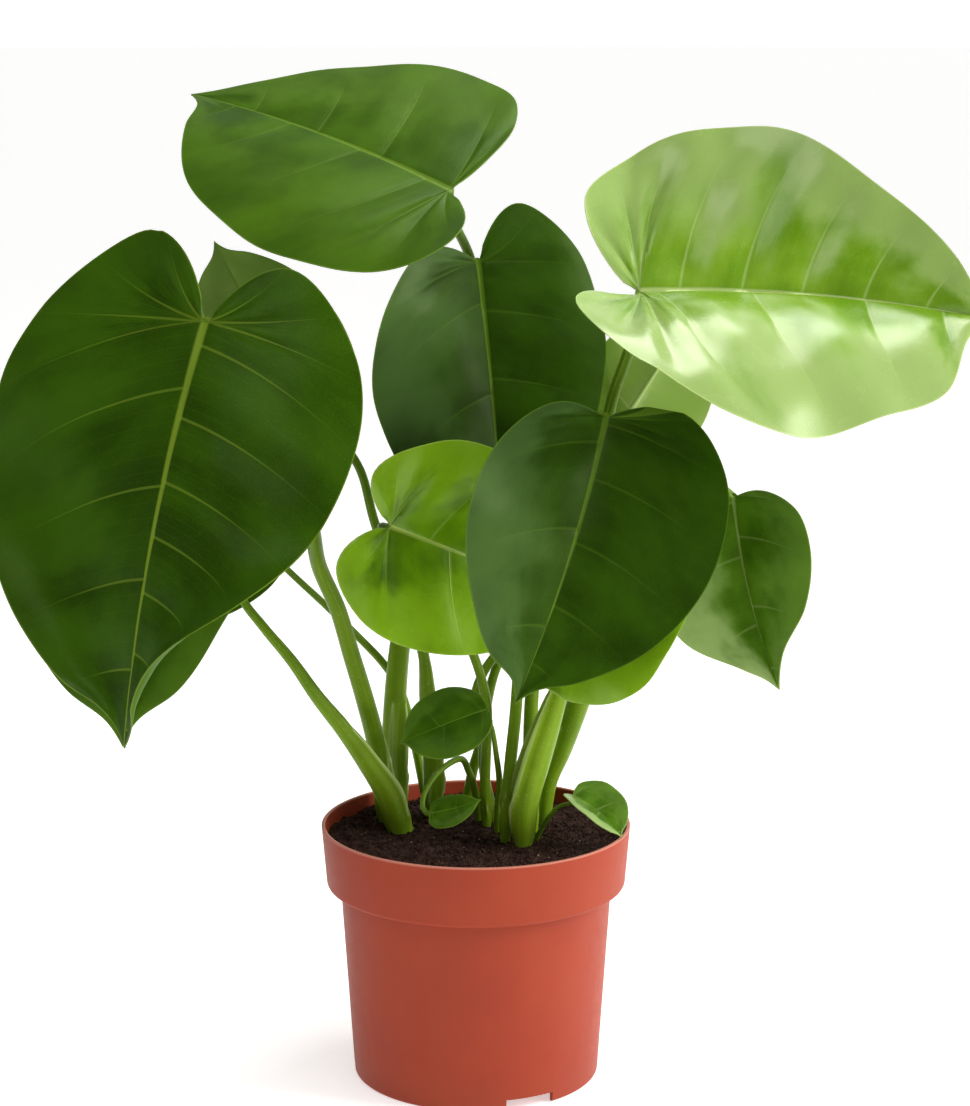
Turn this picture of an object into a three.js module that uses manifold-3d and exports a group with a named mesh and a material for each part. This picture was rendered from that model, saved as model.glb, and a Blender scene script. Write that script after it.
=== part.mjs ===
// Potted swiss cheese plant: a young plant with whole heart-shaped leaves in a plastic nursery pot.
// Millimetres, +Z up. The origin is the middle of the pot's underside, and the plant's front faces -Y.
import * as THREE from "three";
import { mergeVertices } from "three/addons/utils/BufferGeometryUtils.js";
import Module from "manifold-3d";

const wasm = await Module();
wasm.setup();

// Nursery pot: outer radii at the foot, below the collar, at the collar's lower edge and at the rim
const POT_FOOT_RADIUS = 67.7;
const POT_WAIST_RADIUS = 74.8;
const POT_COLLAR_RADIUS = 82.1;
const POT_RIM_RADIUS = 85;
const POT_HEIGHT = 142;
const POT_COLLAR_HEIGHT = 34.5;
const POT_WALL = 2;
const POT_EDGE_ROUND = 1.2;
const POT_SIDES = 44;
// Underside: a rim foot and a middle pad stand on the ground, and the plate between them is raised
const FOOT_RAISE = 6;
const FOOT_WALL = 3;
const PAD_RADIUS = 26;
// Water runs out through notches in the foot, the first of them at the front right
const NOTCH_COUNT = 3;
const NOTCH_WIDTH = 28;
const NOTCH_ANGLE = -64;
const DRAIN_COUNT = 6;
const DRAIN_RADIUS = 4.5;
const DRAIN_CIRCLE = 47;

// Potting soil
const SOIL_LEVEL = 134;
const SOIL_BUMP = 1.6;
const SOIL_RINGS = 7;
const STEM_DEPTH = 14;
const FIT_GAP = 0.3;
const STEM_TOP_GAP = 0.45;

// Leaf blades and stems
const BLADE_THICKNESS = 0.8;
const MIDRIB_DEPTH = 1.2;
const MIDRIB_SIDE = 0.07;
const SINUS = 0.06;
const EDGE_WAVE = 1.1;
const WAVES_PER_LEAF = 2.6;
const SMALL_LEAF = 60;
const MEDIUM_LEAF = 130;

// Each leaf has the place of its base, where the stem joins it, and of its tip, and its turn about the
// line between them. Along the blade, arch bends it down, sweep bends it sideways and twist turns it,
// in degrees, and rise lifts the back lobes. Each half has its width and how far its back lobe reaches
// behind the base, in mm, the share of the length where it is widest, the shares of the width at the
// lobe, the cheek and the shoulder, and its fold, cup and edge curl in degrees.
// A stem has its foot on the soil, the points that it passes through and its radius at foot and top.
// Where a sheath swells it, swell is the extra radius, and reach the share of the stem that swells.
const LEAVES = [
  {
    name: "upper_left",
    color: 0x3f6a24,
    base: [-14, 20, 487],
    tip: [-160, 107, 534],
    turn: -31,
    bend: { arch: 13, sweep: -2, twist: 7, rise: 39 },
    left: { width: 89, lobe: 34, widest: 0.43, back: 0.45, cheek: 0.8, shoulder: 0.36, fold: 8, cup: -26 },
    right: { width: 85, lobe: 6, widest: 0.21, back: 0.54, cheek: 0.72, shoulder: 0.29, fold: 8, cup: -10 },
    foot: [16, -10],
    path: [
      [17, -10, 157],
      [19, -5, 178],
      [22, 4, 206],
      [24, 15, 241],
      [24, 28, 283],
      [18, 44, 342],
      [6, 57, 407],
      [-3, 52, 447],
    ],
    radius: { foot: 3.5, top: 2.6, taper: 1.2 },
  },
  {
    name: "upper_right",
    color: 0x8fb548,
    base: [86, -26, 437],
    tip: [273, -44, 423],
    turn: 26,
    bend: { arch: 5, sweep: 18, twist: 30, rise: 36 },
    left: { width: 92, lobe: 28, widest: 0.31, back: 0.51, cheek: 0.64, shoulder: 0.3, fold: 30, cup: 3 },
    right: { width: 104, lobe: 38, widest: 0.46, back: 0.35, cheek: 0.76, shoulder: 0.54, fold: 22, cup: -40 },
    foot: [26, -18],
    path: [
      [27, -17, 159],
      [33, -14, 181],
      [43, -10, 211],
      [57, -8, 252],
      [66, -6, 290],
      [70, -6, 329],
      [71, -8, 370],
      [81, -16, 405],
    ],
    radius: { foot: 4.6, top: 2.8, taper: 1, swell: 3.6, reach: 0.34 },
  },
  {
    name: "large_left",
    color: 0x2c5413,
    base: [-139, -50, 424],
    tip: [-181, -90, 208],
    turn: -16,
    bend: { arch: 23, sweep: 2, twist: 14, rise: 0, curlFrom: 0.4 },
    left: { width: 98, lobe: 35, widest: 0.28, back: 0.35, cheek: 0.7, shoulder: 0.22, fold: -2, cup: -30, curl: 120 },
    right: { width: 124, lobe: 46, widest: 0.4, back: 0.35, cheek: 0.73, shoulder: 0.36, fold: -2, cup: 4, curl: 70 },
    foot: [-50, 28],
    path: [
      [-55, 26, 176],
      [-61, 16, 206],
      [-68, 8, 234],
      [-75, 0, 262],
      [-84, -12, 288],
      [-87, -39, 318],
      [-99, -56, 348],
      [-119, -54, 380],
    ],
    radius: { foot: 6, top: 3, taper: 1.2 },
  },
  {
    name: "left_nested",
    color: 0x355c14,
    base: [-150, -14, 382],
    tip: [-185, -65, 202],
    turn: -14,
    bend: { arch: 35, sweep: -12, twist: -14, rise: 0 },
    left: { width: 69, lobe: 37, widest: 0.27, back: 0.5, cheek: 0.73, shoulder: 0.41, fold: -5, cup: -11 },
    right: { width: 81, lobe: 37, widest: 0.32, back: 0.5, cheek: 0.76, shoulder: 0.38, fold: 2, cup: -11 },
    foot: [-42, 12],
    path: [
      [-48, 10, 154],
      [-60, 5, 175],
      [-72, 0, 194],
      [-86, -6, 214],
      [-100, -10, 236],
      [-115, -11, 255],
      [-127, -10, 272],
      [-144, 0, 326],
    ],
    radius: { foot: 10, top: 1.9, taper: 3.2 },
  },
  {
    name: "left_upturned",
    color: 0x6f8f3a,
    base: [-94, 1, 384],
    tip: [-142, 37, 458],
    turn: 153,
    bend: { arch: 13, sweep: 0, twist: -11, rise: 12 },
    left: { width: 40, lobe: 19, widest: 0.34, back: 0.5, cheek: 0.79, shoulder: 0.38, fold: 7, cup: -18 },
    right: { width: 40, lobe: 19, widest: 0.32, back: 0.5, cheek: 0.77, shoulder: 0.38, fold: 13, cup: -13 },
    foot: [-25, 38],
    path: [
      [-24, 37, 167],
      [-27, 34, 205],
      [-30, 31, 233],
      [-55, 20, 305],
      [-63, 13, 337],
      [-78, 3, 362],
    ],
    radius: { foot: 4, top: 1.9, taper: 1.1, swell: 2.4, reach: 0.36 },
  },
  {
    name: "left_hidden",
    color: 0x3f6a1e,
    base: [-125, 24, 304],
    tip: [-177, 8, 252],
    turn: -50,
    bend: { arch: 12, sweep: 0, twist: 0, rise: 10 },
    left: { width: 36, lobe: 16, widest: 0.31, back: 0.5, cheek: 0.76, shoulder: 0.36, fold: 8, cup: -12 },
    right: { width: 36, lobe: 16, widest: 0.31, back: 0.5, cheek: 0.76, shoulder: 0.36, fold: 8, cup: -12 },
    foot: [-28, 64],
    path: [
      [-43, 62, 201],
      [-52, 58, 217],
      [-67, 49, 236],
      [-83, 42, 254],
      [-108, 32, 281],
    ],
    radius: { foot: 3, top: 1.7, taper: 1.2 },
  },
  {
    name: "center_back",
    color: 0x24451a,
    base: [1, 29, 447],
    tip: [15, -2, 290],
    turn: -8,
    bend: { arch: 7, sweep: 1, twist: 18, rise: -5 },
    left: { width: 67, lobe: 31, widest: 0.27, back: 0.39, cheek: 0.77, shoulder: 0.36, fold: 17, cup: -12 },
    right: { width: 74, lobe: 8, widest: 0.45, back: 0.45, cheek: 0.75, shoulder: 0.36, fold: 18, cup: -18 },
    foot: [-44, 46],
    path: [
      [-47, 47, 148],
      [-46, 50, 194],
      [-43, 52, 229],
      [-36, 55, 278],
      [-26, 55, 340],
      [-11, 49, 397],
    ],
    radius: { foot: 7.5, top: 2.8, taper: 1.1 },
  },
  {
    name: "center_front",
    color: 0x274a17,
    base: [68, -40, 373],
    tip: [20, -93, 232],
    turn: -40,
    bend: { arch: 3, sweep: 12, twist: -5, rise: 12 },
    left: { width: 74, lobe: 9, widest: 0.38, back: 0.53, cheek: 0.76, shoulder: 0.34, fold: 11, cup: -8 },
    right: { width: 64, lobe: 2, widest: 0.48, back: 0.35, cheek: 0.75, shoulder: 0.38, fold: 24, cup: 6 },
    foot: [31, 12],
    path: [
      [30, 10, 189],
      [31, 11, 214],
      [34, 16, 241],
      [38, 17, 269],
      [49, 16, 305],
      [64, -11, 349],
    ],
    radius: { foot: 4.5, top: 2.6, taper: 1.1 },
  },
  {
    name: "young_cupped",
    color: 0x7fb023,
    base: [-45, -35, 314],
    tip: [57, 9, 265],
    turn: 77,
    bend: { arch: 8, sweep: -1, twist: -17, rise: 17 },
    left: { width: 59, lobe: 22, widest: 0.35, back: 0.35, cheek: 0.75, shoulder: 0.36, fold: 21, cup: 10 },
    right: { width: 59, lobe: 25, widest: 0.27, back: 0.49, cheek: 0.77, shoulder: 0.36, fold: 4, cup: 1 },
    foot: [6, 15],
    path: [
      [5, 14, 158],
      [6, 12, 189],
      [6, 9, 206],
      [-1, 2, 235],
      [-19, -10, 272],
    ],
    radius: { foot: 3.2, top: 1.9, taper: 1 },
  },
  {
    name: "right_folded",
    color: 0x4f7a2a,
    base: [140, 12, 322],
    tip: [163, -26, 223],
    turn: 42,
    bend: { arch: 3, sweep: -16, twist: 6, rise: 12 },
    left: { width: 45, lobe: 0, widest: 0.36, back: 0.4, cheek: 0.77, shoulder: 0.23, fold: 36, cup: -18 },
    right: { width: 51, lobe: 22, widest: 0.32, back: 0.5, cheek: 0.83, shoulder: 0.3, fold: 26, cup: -15 },
    foot: [9, 30],
    path: [
      [4, 29, 169],
      [6, 31, 199],
      [13, 34, 225],
      [36, 34, 260],
      [68, 30, 294],
      [101, 24, 319],
      [129, 18, 328],
    ],
    radius: { foot: 3, top: 1.8, taper: 1 },
  },
  {
    name: "right_upturned",
    color: 0x86a552,
    base: [81, 38, 358],
    tip: [122, 36, 424],
    turn: -95,
    bend: { arch: 8, sweep: -1, twist: 8, rise: 12 },
    left: { width: 38, lobe: 15, widest: 0.31, back: 0.5, cheek: 0.76, shoulder: 0.36, fold: 14, cup: -7 },
    right: { width: 33, lobe: 13, widest: 0.36, back: 0.46, cheek: 0.76, shoulder: 0.36, fold: 14, cup: -16 },
    foot: [37, 24],
    path: [
      [40, 23, 159],
      [47, 22, 177],
      [56, 20, 203],
      [69, 16, 241],
      [79, 14, 286],
      [83, 20, 326],
    ],
    radius: { foot: 3.8, top: 2.2, taper: 1, swell: 3.2, reach: 0.7 },
  },
  {
    name: "front_under",
    color: 0x659a1c,
    base: [87, -43, 282],
    tip: [27, -57, 231],
    turn: -23,
    bend: { arch: 39, sweep: -5, twist: -30, rise: 12 },
    left: { width: 49, lobe: 16, widest: 0.5, back: 0.47, cheek: 0.8, shoulder: 0.46, fold: 3, cup: -20 },
    right: { width: 42, lobe: 18, widest: 0.31, back: 0.5, cheek: 0.76, shoulder: 0.36, fold: 8, cup: -12 },
    foot: [-6, 42],
    path: [
      [-2, 40, 160],
      [2, 38, 176],
      [0, 31, 208],
      [12, 24, 232],
      [35, 25, 250],
      [62, 12, 269],
      [82, -8, 283],
    ],
    radius: { foot: 3.2, top: 1.7, taper: 1 },
  },
  {
    name: "small_middle",
    color: 0x2f5a20,
    base: [6, -36, 215],
    tip: [-41, -44, 198],
    turn: -40,
    bend: { arch: 12, sweep: 1, twist: -22, rise: 5 },
    left: { width: 20, lobe: 0, widest: 0.45, back: 0.46, cheek: 0.8, shoulder: 0.39, fold: 8, cup: -12 },
    right: { width: 20, lobe: 0, widest: 0.43, back: 0.47, cheek: 0.79, shoulder: 0.37, fold: 7, cup: -11 },
    foot: [12, 3],
    path: [
      [12, 2, 147],
      [13, 0, 163],
      [11, -11, 184],
      [9, -22, 200],
    ],
    radius: { foot: 2.4, top: 1, taper: 1 },
  },
  {
    name: "tiny_low",
    color: 0x3f7a30,
    base: [-24, -41, 159],
    tip: [3, -46, 168],
    turn: 45,
    bend: { arch: 3, sweep: -17, twist: 7, rise: 5 },
    left: { width: 10, lobe: 1, widest: 0.28, back: 0.5, cheek: 0.76, shoulder: 0.36, fold: -2, cup: -18 },
    right: { width: 10, lobe: 1, widest: 0.3, back: 0.49, cheek: 0.79, shoulder: 0.37, fold: 0, cup: -16 },
    foot: [1, 30],
    path: [
      [0, 24, 150],
      [-4, 10, 168],
      [-9, -8, 180],
      [-20, -20, 176],
      [-28, -31, 166],
      [-28, -36, 159],
    ],
    radius: { foot: 2.4, top: 1.3, taper: 1 },
  },
  {
    name: "small_right",
    color: 0x5a9a3c,
    base: [53, -14, 161],
    tip: [79, -34, 143],
    turn: 3,
    bend: { arch: 30, sweep: 9, twist: 12, rise: 4 },
    left: { width: 17, lobe: 2, widest: 0.41, back: 0.5, cheek: 0.8, shoulder: 0.38, fold: 24, cup: 7 },
    right: { width: 15, lobe: 2, widest: 0.38, back: 0.5, cheek: 0.76, shoulder: 0.37, fold: 17, cup: 2 },
    foot: [33, -8],
    path: [
      [38, -11, 145],
      [46, -14, 155],
    ],
    radius: { foot: 2, top: 1, taper: 1 },
  },
];

const STEM_COLOR = 0x6f9440;
const POT_COLOR = 0xb8533c;
const SOIL_COLOR = 0x2a1c14;
const UP = new THREE.Vector3(0, 0, 1);

const radians = THREE.MathUtils.degToRad;
const smoothstep = THREE.MathUtils.smoothstep;

// A vector that is a weighted sum of others
function blend(...terms) {
  const sum = new THREE.Vector3();
  for (const [vector, weight] of terms) {
    sum.addScaledVector(vector, weight);
  }
  return sum;
}

// A smooth flat curve through points, with the given number of steps in each stretch
function curveThrough(points, steps) {
  const chords = steps.map((_, i) => Math.hypot(points[i + 1][0] - points[i][0], points[i + 1][1] - points[i][1]));
  const slopes = steps.map((_, i) => [0, 1].map((k) => (points[i + 1][k] - points[i][k]) / chords[i]));
  const last = steps.length;
  const tangents = points.map((_, i) => {
    if (i === 0 || i === last) {
      return [0, 0];
    }
    const before = chords[i - 1];
    const after = chords[i];
    return [0, 1].map((k) => (slopes[i - 1][k] * after + slopes[i][k] * before) / (before + after));
  });
  tangents[0] = [0, 1].map((k) => 2 * slopes[0][k] - tangents[1][k]);
  tangents[last] = [0, 1].map((k) => 2 * slopes[last - 1][k] - tangents[last - 1][k]);
  const curve = [points[0]];
  for (let i = 0; i < last; i += 1) {
    for (let step = 1; step <= steps[i]; step += 1) {
      const t = step / steps[i];
      const start = 2 * t ** 3 - 3 * t ** 2 + 1;
      const leave = (t ** 3 - 2 * t ** 2 + t) * chords[i];
      const arrive = (t ** 3 - t ** 2) * chords[i];
      curve.push(
        [0, 1].map(
          (k) =>
            start * points[i][k] +
            leave * tangents[i][k] +
            (1 - start) * points[i + 1][k] +
            arrive * tangents[i + 1][k],
        ),
      );
    }
  }
  return curve;
}

// Half of the heart-shaped outline: [distance from the midrib, distance along it], from sinus to tip
function halfOutline(half, length, steps) {
  const back = [half.back * half.width, -half.lobe];
  const wide = [half.width, half.widest * length];
  const beyond = (share) => (half.widest + (1 - half.widest) * share) * length;
  const points = [
    [SINUS * half.width, -0.3 * half.lobe],
    back,
    [back[0] + 0.8 * (wide[0] - back[0]), back[1] + 0.38 * (wide[1] - back[1])],
    wide,
    [half.cheek * half.width, beyond(0.47)],
    [half.shoulder * half.width, beyond(0.78)],
    [0.085 * half.width, 0.94 * length],
    [0, length],
  ];
  return curveThrough(points, steps);
}

// Directions along, out of and across a blade that starts along +X and faces +Z, at a share of its length
function bladeDirections(bend, share) {
  const droop = radians(-bend.arch * share);
  const side = radians(bend.sweep * share);
  const turn = radians(bend.twist * share);
  const along = new THREE.Vector3(
    Math.cos(droop) * Math.cos(side),
    -Math.cos(droop) * Math.sin(side),
    Math.sin(droop),
  );
  const plain = new THREE.Vector3(
    -Math.sin(droop) * Math.cos(side),
    Math.sin(droop) * Math.sin(side),
    Math.cos(droop),
  );
  const across = new THREE.Vector3().crossVectors(along, plain);
  const out = blend([plain, Math.cos(turn)], [across, Math.sin(turn)]);
  return { along, out, across: new THREE.Vector3().crossVectors(along, out) };
}

// The midrib of a leaf as stations, laid so that it starts at the leaf's base and ends at its tip
function midribOf(leaf) {
  const stations = 40;
  const rib = [{ ...bladeDirections(leaf.bend, 0), place: new THREE.Vector3() }];
  for (let i = 1; i <= stations; i += 1) {
    const here = bladeDirections(leaf.bend, i / stations);
    const before = rib[i - 1];
    here.place = before.place.clone().add(blend([before.along, 0.5 / stations], [here.along, 0.5 / stations]));
    rib.push(here);
  }
  const base = new THREE.Vector3(...leaf.base);
  const reach = new THREE.Vector3(...leaf.tip).sub(base);
  const length = reach.length() / rib[stations].place.length();
  const basisAbout = (direction, roll) => {
    const first = direction.clone().normalize();
    const upright = UP.clone().addScaledVector(first, -UP.dot(first)).normalize();
    const level = new THREE.Vector3().crossVectors(first, upright);
    const second = blend([upright, Math.cos(roll)], [level, Math.sin(roll)]);
    return new THREE.Matrix4().makeBasis(first, second, new THREE.Vector3().crossVectors(first, second));
  };
  const turn = basisAbout(reach, radians(leaf.turn)).multiply(basisAbout(rib[stations].place, 0).transpose());
  for (const station of rib) {
    station.place.multiplyScalar(length).applyMatrix4(turn).add(base);
    station.along.applyMatrix4(turn);
    station.out.applyMatrix4(turn);
    station.across.applyMatrix4(turn);
  }
  return { rib, length };
}

// The blade's middle surface: a function from side, distance from the midrib and distance along it
function bladeSurface(leaf, phase) {
  const { rib, length } = midribOf(leaf);
  const last = rib.length - 1;
  const outlines = { 1: leaf.right, [-1]: leaf.left };
  const edges = {};
  for (const side of [1, -1]) {
    const outline = halfOutline(outlines[side], length, [6, 6, 6, 10, 8, 4, 4]);
    const widest = outline.reduce((best, point, i) => (point[0] > outline[best][0] ? i : best), 0);
    edges[side] = outline.slice(widest);
  }
  const halfWidth = (side, v) => {
    const edge = edges[side];
    const next = edge.findIndex((point) => point[1] > v);
    if (next === 0) {
      return edge[0][0];
    }
    if (next < 0) {
      return 0.001;
    }
    const [u0, v0] = edge[next - 1];
    const [u1, v1] = edge[next];
    return Math.max(u0 + ((u1 - u0) * (v - v0)) / (v1 - v0), 0.001);
  };
  const surface = (side, u, v) => {
    const half = outlines[side];
    const share = THREE.MathUtils.clamp(v / length, 0, 1);
    const low = Math.min(Math.floor(share * last), last - 1);
    const t = share * last - low;
    const between = (key) => rib[low][key].clone().lerp(rib[low + 1][key], t);
    const point = between("place");
    const lobe = Math.max(leaf.left.lobe, leaf.right.lobe, 1);
    const lift = radians(leaf.bend.rise) / Math.max(half.lobe, 1);
    const behind = Math.min(Math.max(-v, 0), lobe);
    const level = Math.abs(lift) < 1e-9;
    point.addScaledVector(rib[0].along, level ? -behind : -Math.sin(lift * behind) / lift);
    point.addScaledVector(rib[0].out, level ? 0 : (1 - Math.cos(lift * behind)) / lift);
    const width = halfWidth(side, v);
    const curlFrom = leaf.bend.curlFrom ?? 0.6;
    const curl = radians(half.curl ?? 0) * smoothstep(share, curlFrom, 0.9) * Math.min(1, width / 14);
    const slices = 8;
    let acrossSum = 0;
    let outSum = 0;
    for (let k = 0; k < slices; k += 1) {
      const reach = (u * (k + 0.5)) / slices;
      const edgeShare = Math.min(reach / width, 1.2);
      const angle = radians(half.fold) + (radians(half.cup) * reach) / half.width + curl * edgeShare ** 2;
      acrossSum += (Math.cos(angle) * u) / slices;
      outSum += (Math.sin(angle) * u) / slices;
    }
    const ripple = Math.sin(2 * Math.PI * (WAVES_PER_LEAF * share) + phase + side);
    outSum += EDGE_WAVE * ripple * Math.min(length / 150, 1) * Math.min(u / half.width, 1) ** 2;
    point.addScaledVector(between("across"), side * acrossSum);
    point.addScaledVector(between("out"), outSum);
    return point;
  };
  return { surface, outlines, length, rib };
}

// The direction out of a blade's upper face
function bladeNormal(surface, side, u, v) {
  const step = 0.5;
  const start = Math.max(u, step);
  const across = surface(side, start + step, v).sub(surface(side, start - step, v));
  const along = surface(side, start, v + step).sub(surface(side, start, v - step));
  return new THREE.Vector3().crossVectors(across, along).multiplyScalar(side).normalize();
}

function geometryOf(points, faces) {
  const geometry = new THREE.BufferGeometry();
  const flat = points.flatMap((point) => point.toArray());
  geometry.setAttribute("position", new THREE.Float32BufferAttribute(flat, 3));
  geometry.setIndex(faces.flat());
  geometry.computeVertexNormals();
  return geometry;
}

function stepsFor(length) {
  if (length < SMALL_LEAF) {
    return { along: [1, 2, 2, 3, 2, 1, 1], across: [0, 0.1, 0.55, 1] };
  }
  if (length < MEDIUM_LEAF) {
    return { along: [2, 2, 2, 4, 3, 2, 1], across: [0, MIDRIB_SIDE, 0.36, 0.7, 1] };
  }
  return { along: [2, 3, 3, 5, 4, 2, 2], across: [0, MIDRIB_SIDE, 0.36, 0.7, 1] };
}

// A blade as one closed sheet: the same triangles on both faces and a narrow edge between them
function bladeGeometry(blade) {
  const { surface, outlines, length } = blade;
  const { along: steps, across } = stepsFor(length);
  const margins = { 1: halfOutline(outlines[1], length, steps), [-1]: halfOutline(outlines[-1], length, steps) };
  const lines = margins[1].length;
  const ribAt = margins[1].map((_, i) => {
    const mean = [1, -1].reduce((sum, side) => {
      const [u, v] = margins[side][i];
      return sum + Math.max(v - 0.45 * u, 0) / 2;
    }, 0);
    return i === lines - 1 ? length : mean < 0.012 * length ? 0 : mean;
  });
  const tops = [];
  const bottoms = [];
  const found = new Map();
  const scale = Math.min(length / 150, 1);
  const vertex = (side, i, q) => {
    const onRib = across[q] === 0 || i === lines - 1;
    const key = onRib ? `rib ${ribAt[i].toFixed(3)}` : `${side} ${i} ${q}`;
    if (!found.has(key)) {
      const [u, v] = margins[side][i];
      const s = across[q];
      const flatU = onRib ? 0 : (1 - s) * s * u + s * s * u;
      const control = ribAt[i] + 0.2 * (v - ribAt[i]);
      const flatV = onRib ? ribAt[i] : (1 - s) ** 2 * ribAt[i] + 2 * (1 - s) * s * control + s * s * v;
      const place = surface(side, flatU, flatV);
      const normal = onRib
        ? bladeNormal(surface, 1, 0, flatV).add(bladeNormal(surface, -1, 0, flatV)).normalize()
        : bladeNormal(surface, side, flatU, flatV);
      const fade = Math.min(flatV / 10, 1) * (1 - flatV / length);
      const rib = onRib ? MIDRIB_DEPTH * scale * Math.max(fade, 0) : 0;
      found.set(key, tops.length);
      tops.push(place.clone().addScaledVector(normal, BLADE_THICKNESS / 2));
      bottoms.push(place.clone().addScaledVector(normal, -BLADE_THICKNESS / 2 - rib));
    }
    return found.get(key);
  };
  const upper = [];
  const cell = (a, b, c) => {
    if (a !== b && b !== c && c !== a) {
      upper.push([a, b, c]);
    }
  };
  for (const side of [1, -1]) {
    for (let i = 0; i < lines - 1; i += 1) {
      for (let q = 0; q < across.length - 1; q += 1) {
        const corners = [vertex(side, i, q), vertex(side, i, q + 1), vertex(side, i + 1, q + 1), vertex(side, i + 1, q)];
        if (side < 0) {
          corners.reverse();
        }
        cell(corners[0], corners[1], corners[2]);
        cell(corners[0], corners[2], corners[3]);
      }
    }
  }
  const rim = [];
  const outer = across.length - 1;
  for (let q = 0; q < outer; q += 1) {
    rim.push(vertex(1, 0, q));
  }
  for (let i = 0; i < lines; i += 1) {
    rim.push(vertex(1, i, outer));
  }
  for (let i = lines - 2; i >= 0; i -= 1) {
    rim.push(vertex(-1, i, outer));
  }
  for (let q = outer - 1; q > 0; q -= 1) {
    rim.push(vertex(-1, 0, q));
  }
  const offset = tops.length;
  const faces = [...upper, ...upper.map(([a, b, c]) => [c + offset, b + offset, a + offset])];
  rim.forEach((here, i) => {
    const next = rim[(i + 1) % rim.length];
    faces.push([next, here, here + offset], [next, here + offset, next + offset]);
  });
  return geometryOf([...tops, ...bottoms], faces);
}

// A closed tube through rings of points, with its ends capped
function tubeGeometry(rings) {
  const sides = rings[0].length;
  const points = rings.flat();
  const faces = [];
  for (let r = 0; r < rings.length - 1; r += 1) {
    for (let k = 0; k < sides; k += 1) {
      const a = r * sides + k;
      const b = r * sides + ((k + 1) % sides);
      faces.push([a, b, b + sides], [a, b + sides, a + sides]);
    }
  }
  const top = (rings.length - 1) * sides;
  for (let k = 1; k < sides - 1; k += 1) {
    faces.push([0, k + 1, k], [top, top + k, top + k + 1]);
  }
  return geometryOf(points, faces);
}

// The stem of a leaf, from its place in the soil to just under the blade; extra widens and deepens it
function stemGeometry(leaf, blade, extra, highest) {
  const [x, y] = leaf.foot;
  const first = new THREE.Vector3(...leaf.path[0]);
  const foot = new THREE.Vector3(x, y, SOIL_LEVEL);
  const down = foot.clone().sub(first).setZ(Math.min(foot.z - first.z, -4)).normalize();
  const root = foot.clone().addScaledVector(down, STEM_DEPTH);
  const start = blade.rib[0];
  const base = start.place.clone().addScaledVector(start.out, -BLADE_THICKNESS / 2 - STEM_TOP_GAP);
  const size = Math.min(blade.length / 150, 1);
  const under = base.clone().addScaledVector(start.out, -14 * size);
  const points = [root, foot, ...leaf.path.map((point) => new THREE.Vector3(...point)), under, base];
  const curve = new THREE.CatmullRomCurve3(points, false, "centripetal");
  const thin = blade.length < SMALL_LEAF;
  const sides = thin ? 6 : 8;
  const steps = thin ? 10 : 15;
  const rings = [];
  let sideways = new THREE.Vector3(1, 0, 0);
  for (let i = 0; i <= steps; i += 1) {
    const t = i / steps;
    const centre = curve.getPointAt(t);
    if (highest !== undefined && centre.z > highest && rings.length > 1) {
      break;
    }
    const direction = i === steps ? start.out.clone() : curve.getTangentAt(t);
    sideways = sideways.addScaledVector(direction, -sideways.dot(direction)).normalize();
    const other = new THREE.Vector3().crossVectors(direction, sideways);
    const { foot: wide, top, taper, swell = 0, reach = 1 } = leaf.radius;
    const sheath = swell * Math.sin(Math.PI * Math.min(t / reach, 1));
    const radius = top + (wide - top) * (1 - t) ** taper + sheath + extra;
    if (i === 0) {
      centre.addScaledVector(direction, -extra);
    }
    const ring = [];
    for (let k = 0; k < sides; k += 1) {
      const angle = (2 * Math.PI * k) / sides;
      ring.push(blend([centre, 1], [sideways, radius * Math.cos(angle)], [other, radius * Math.sin(angle)]));
    }
    rings.push(ring);
  }
  return tubeGeometry(rings);
}

// Closed geometry to a solid that can be joined and cut, and back
function solidOf(geometry) {
  const bare = geometry.clone().deleteAttribute("normal");
  if (bare.getAttribute("uv")) {
    bare.deleteAttribute("uv");
  }
  const merged = mergeVertices(bare, 1e-4);
  return new wasm.Manifold(
    new wasm.Mesh({
      numProp: 3,
      vertProperties: merged.getAttribute("position").array,
      triVerts: Uint32Array.from(merged.index.array),
    }),
  );
}

function geometryFrom(solid) {
  const mesh = solid.getMesh();
  const geometry = new THREE.BufferGeometry();
  geometry.setAttribute("position", new THREE.BufferAttribute(mesh.vertProperties, 3));
  geometry.setIndex(new THREE.BufferAttribute(mesh.triVerts, 1));
  geometry.computeVertexNormals();
  return geometry;
}

const collarBottom = POT_HEIGHT - POT_COLLAR_HEIGHT;
const floorTop = FOOT_RAISE + POT_WALL;

// Inner radius of the pot at a height
function innerRadius(z) {
  if (z > collarBottom) {
    const share = (z - collarBottom) / POT_COLLAR_HEIGHT;
    return THREE.MathUtils.lerp(POT_COLLAR_RADIUS, POT_RIM_RADIUS, share) - POT_WALL;
  }
  return THREE.MathUtils.lerp(POT_FOOT_RADIUS, POT_WAIST_RADIUS, z / collarBottom) - POT_WALL;
}

function lathe(profile, sides) {
  const flat = profile.map(([radius, z]) => new THREE.Vector2(radius, z));
  return new THREE.LatheGeometry(flat, sides).rotateX(Math.PI / 2);
}

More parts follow.
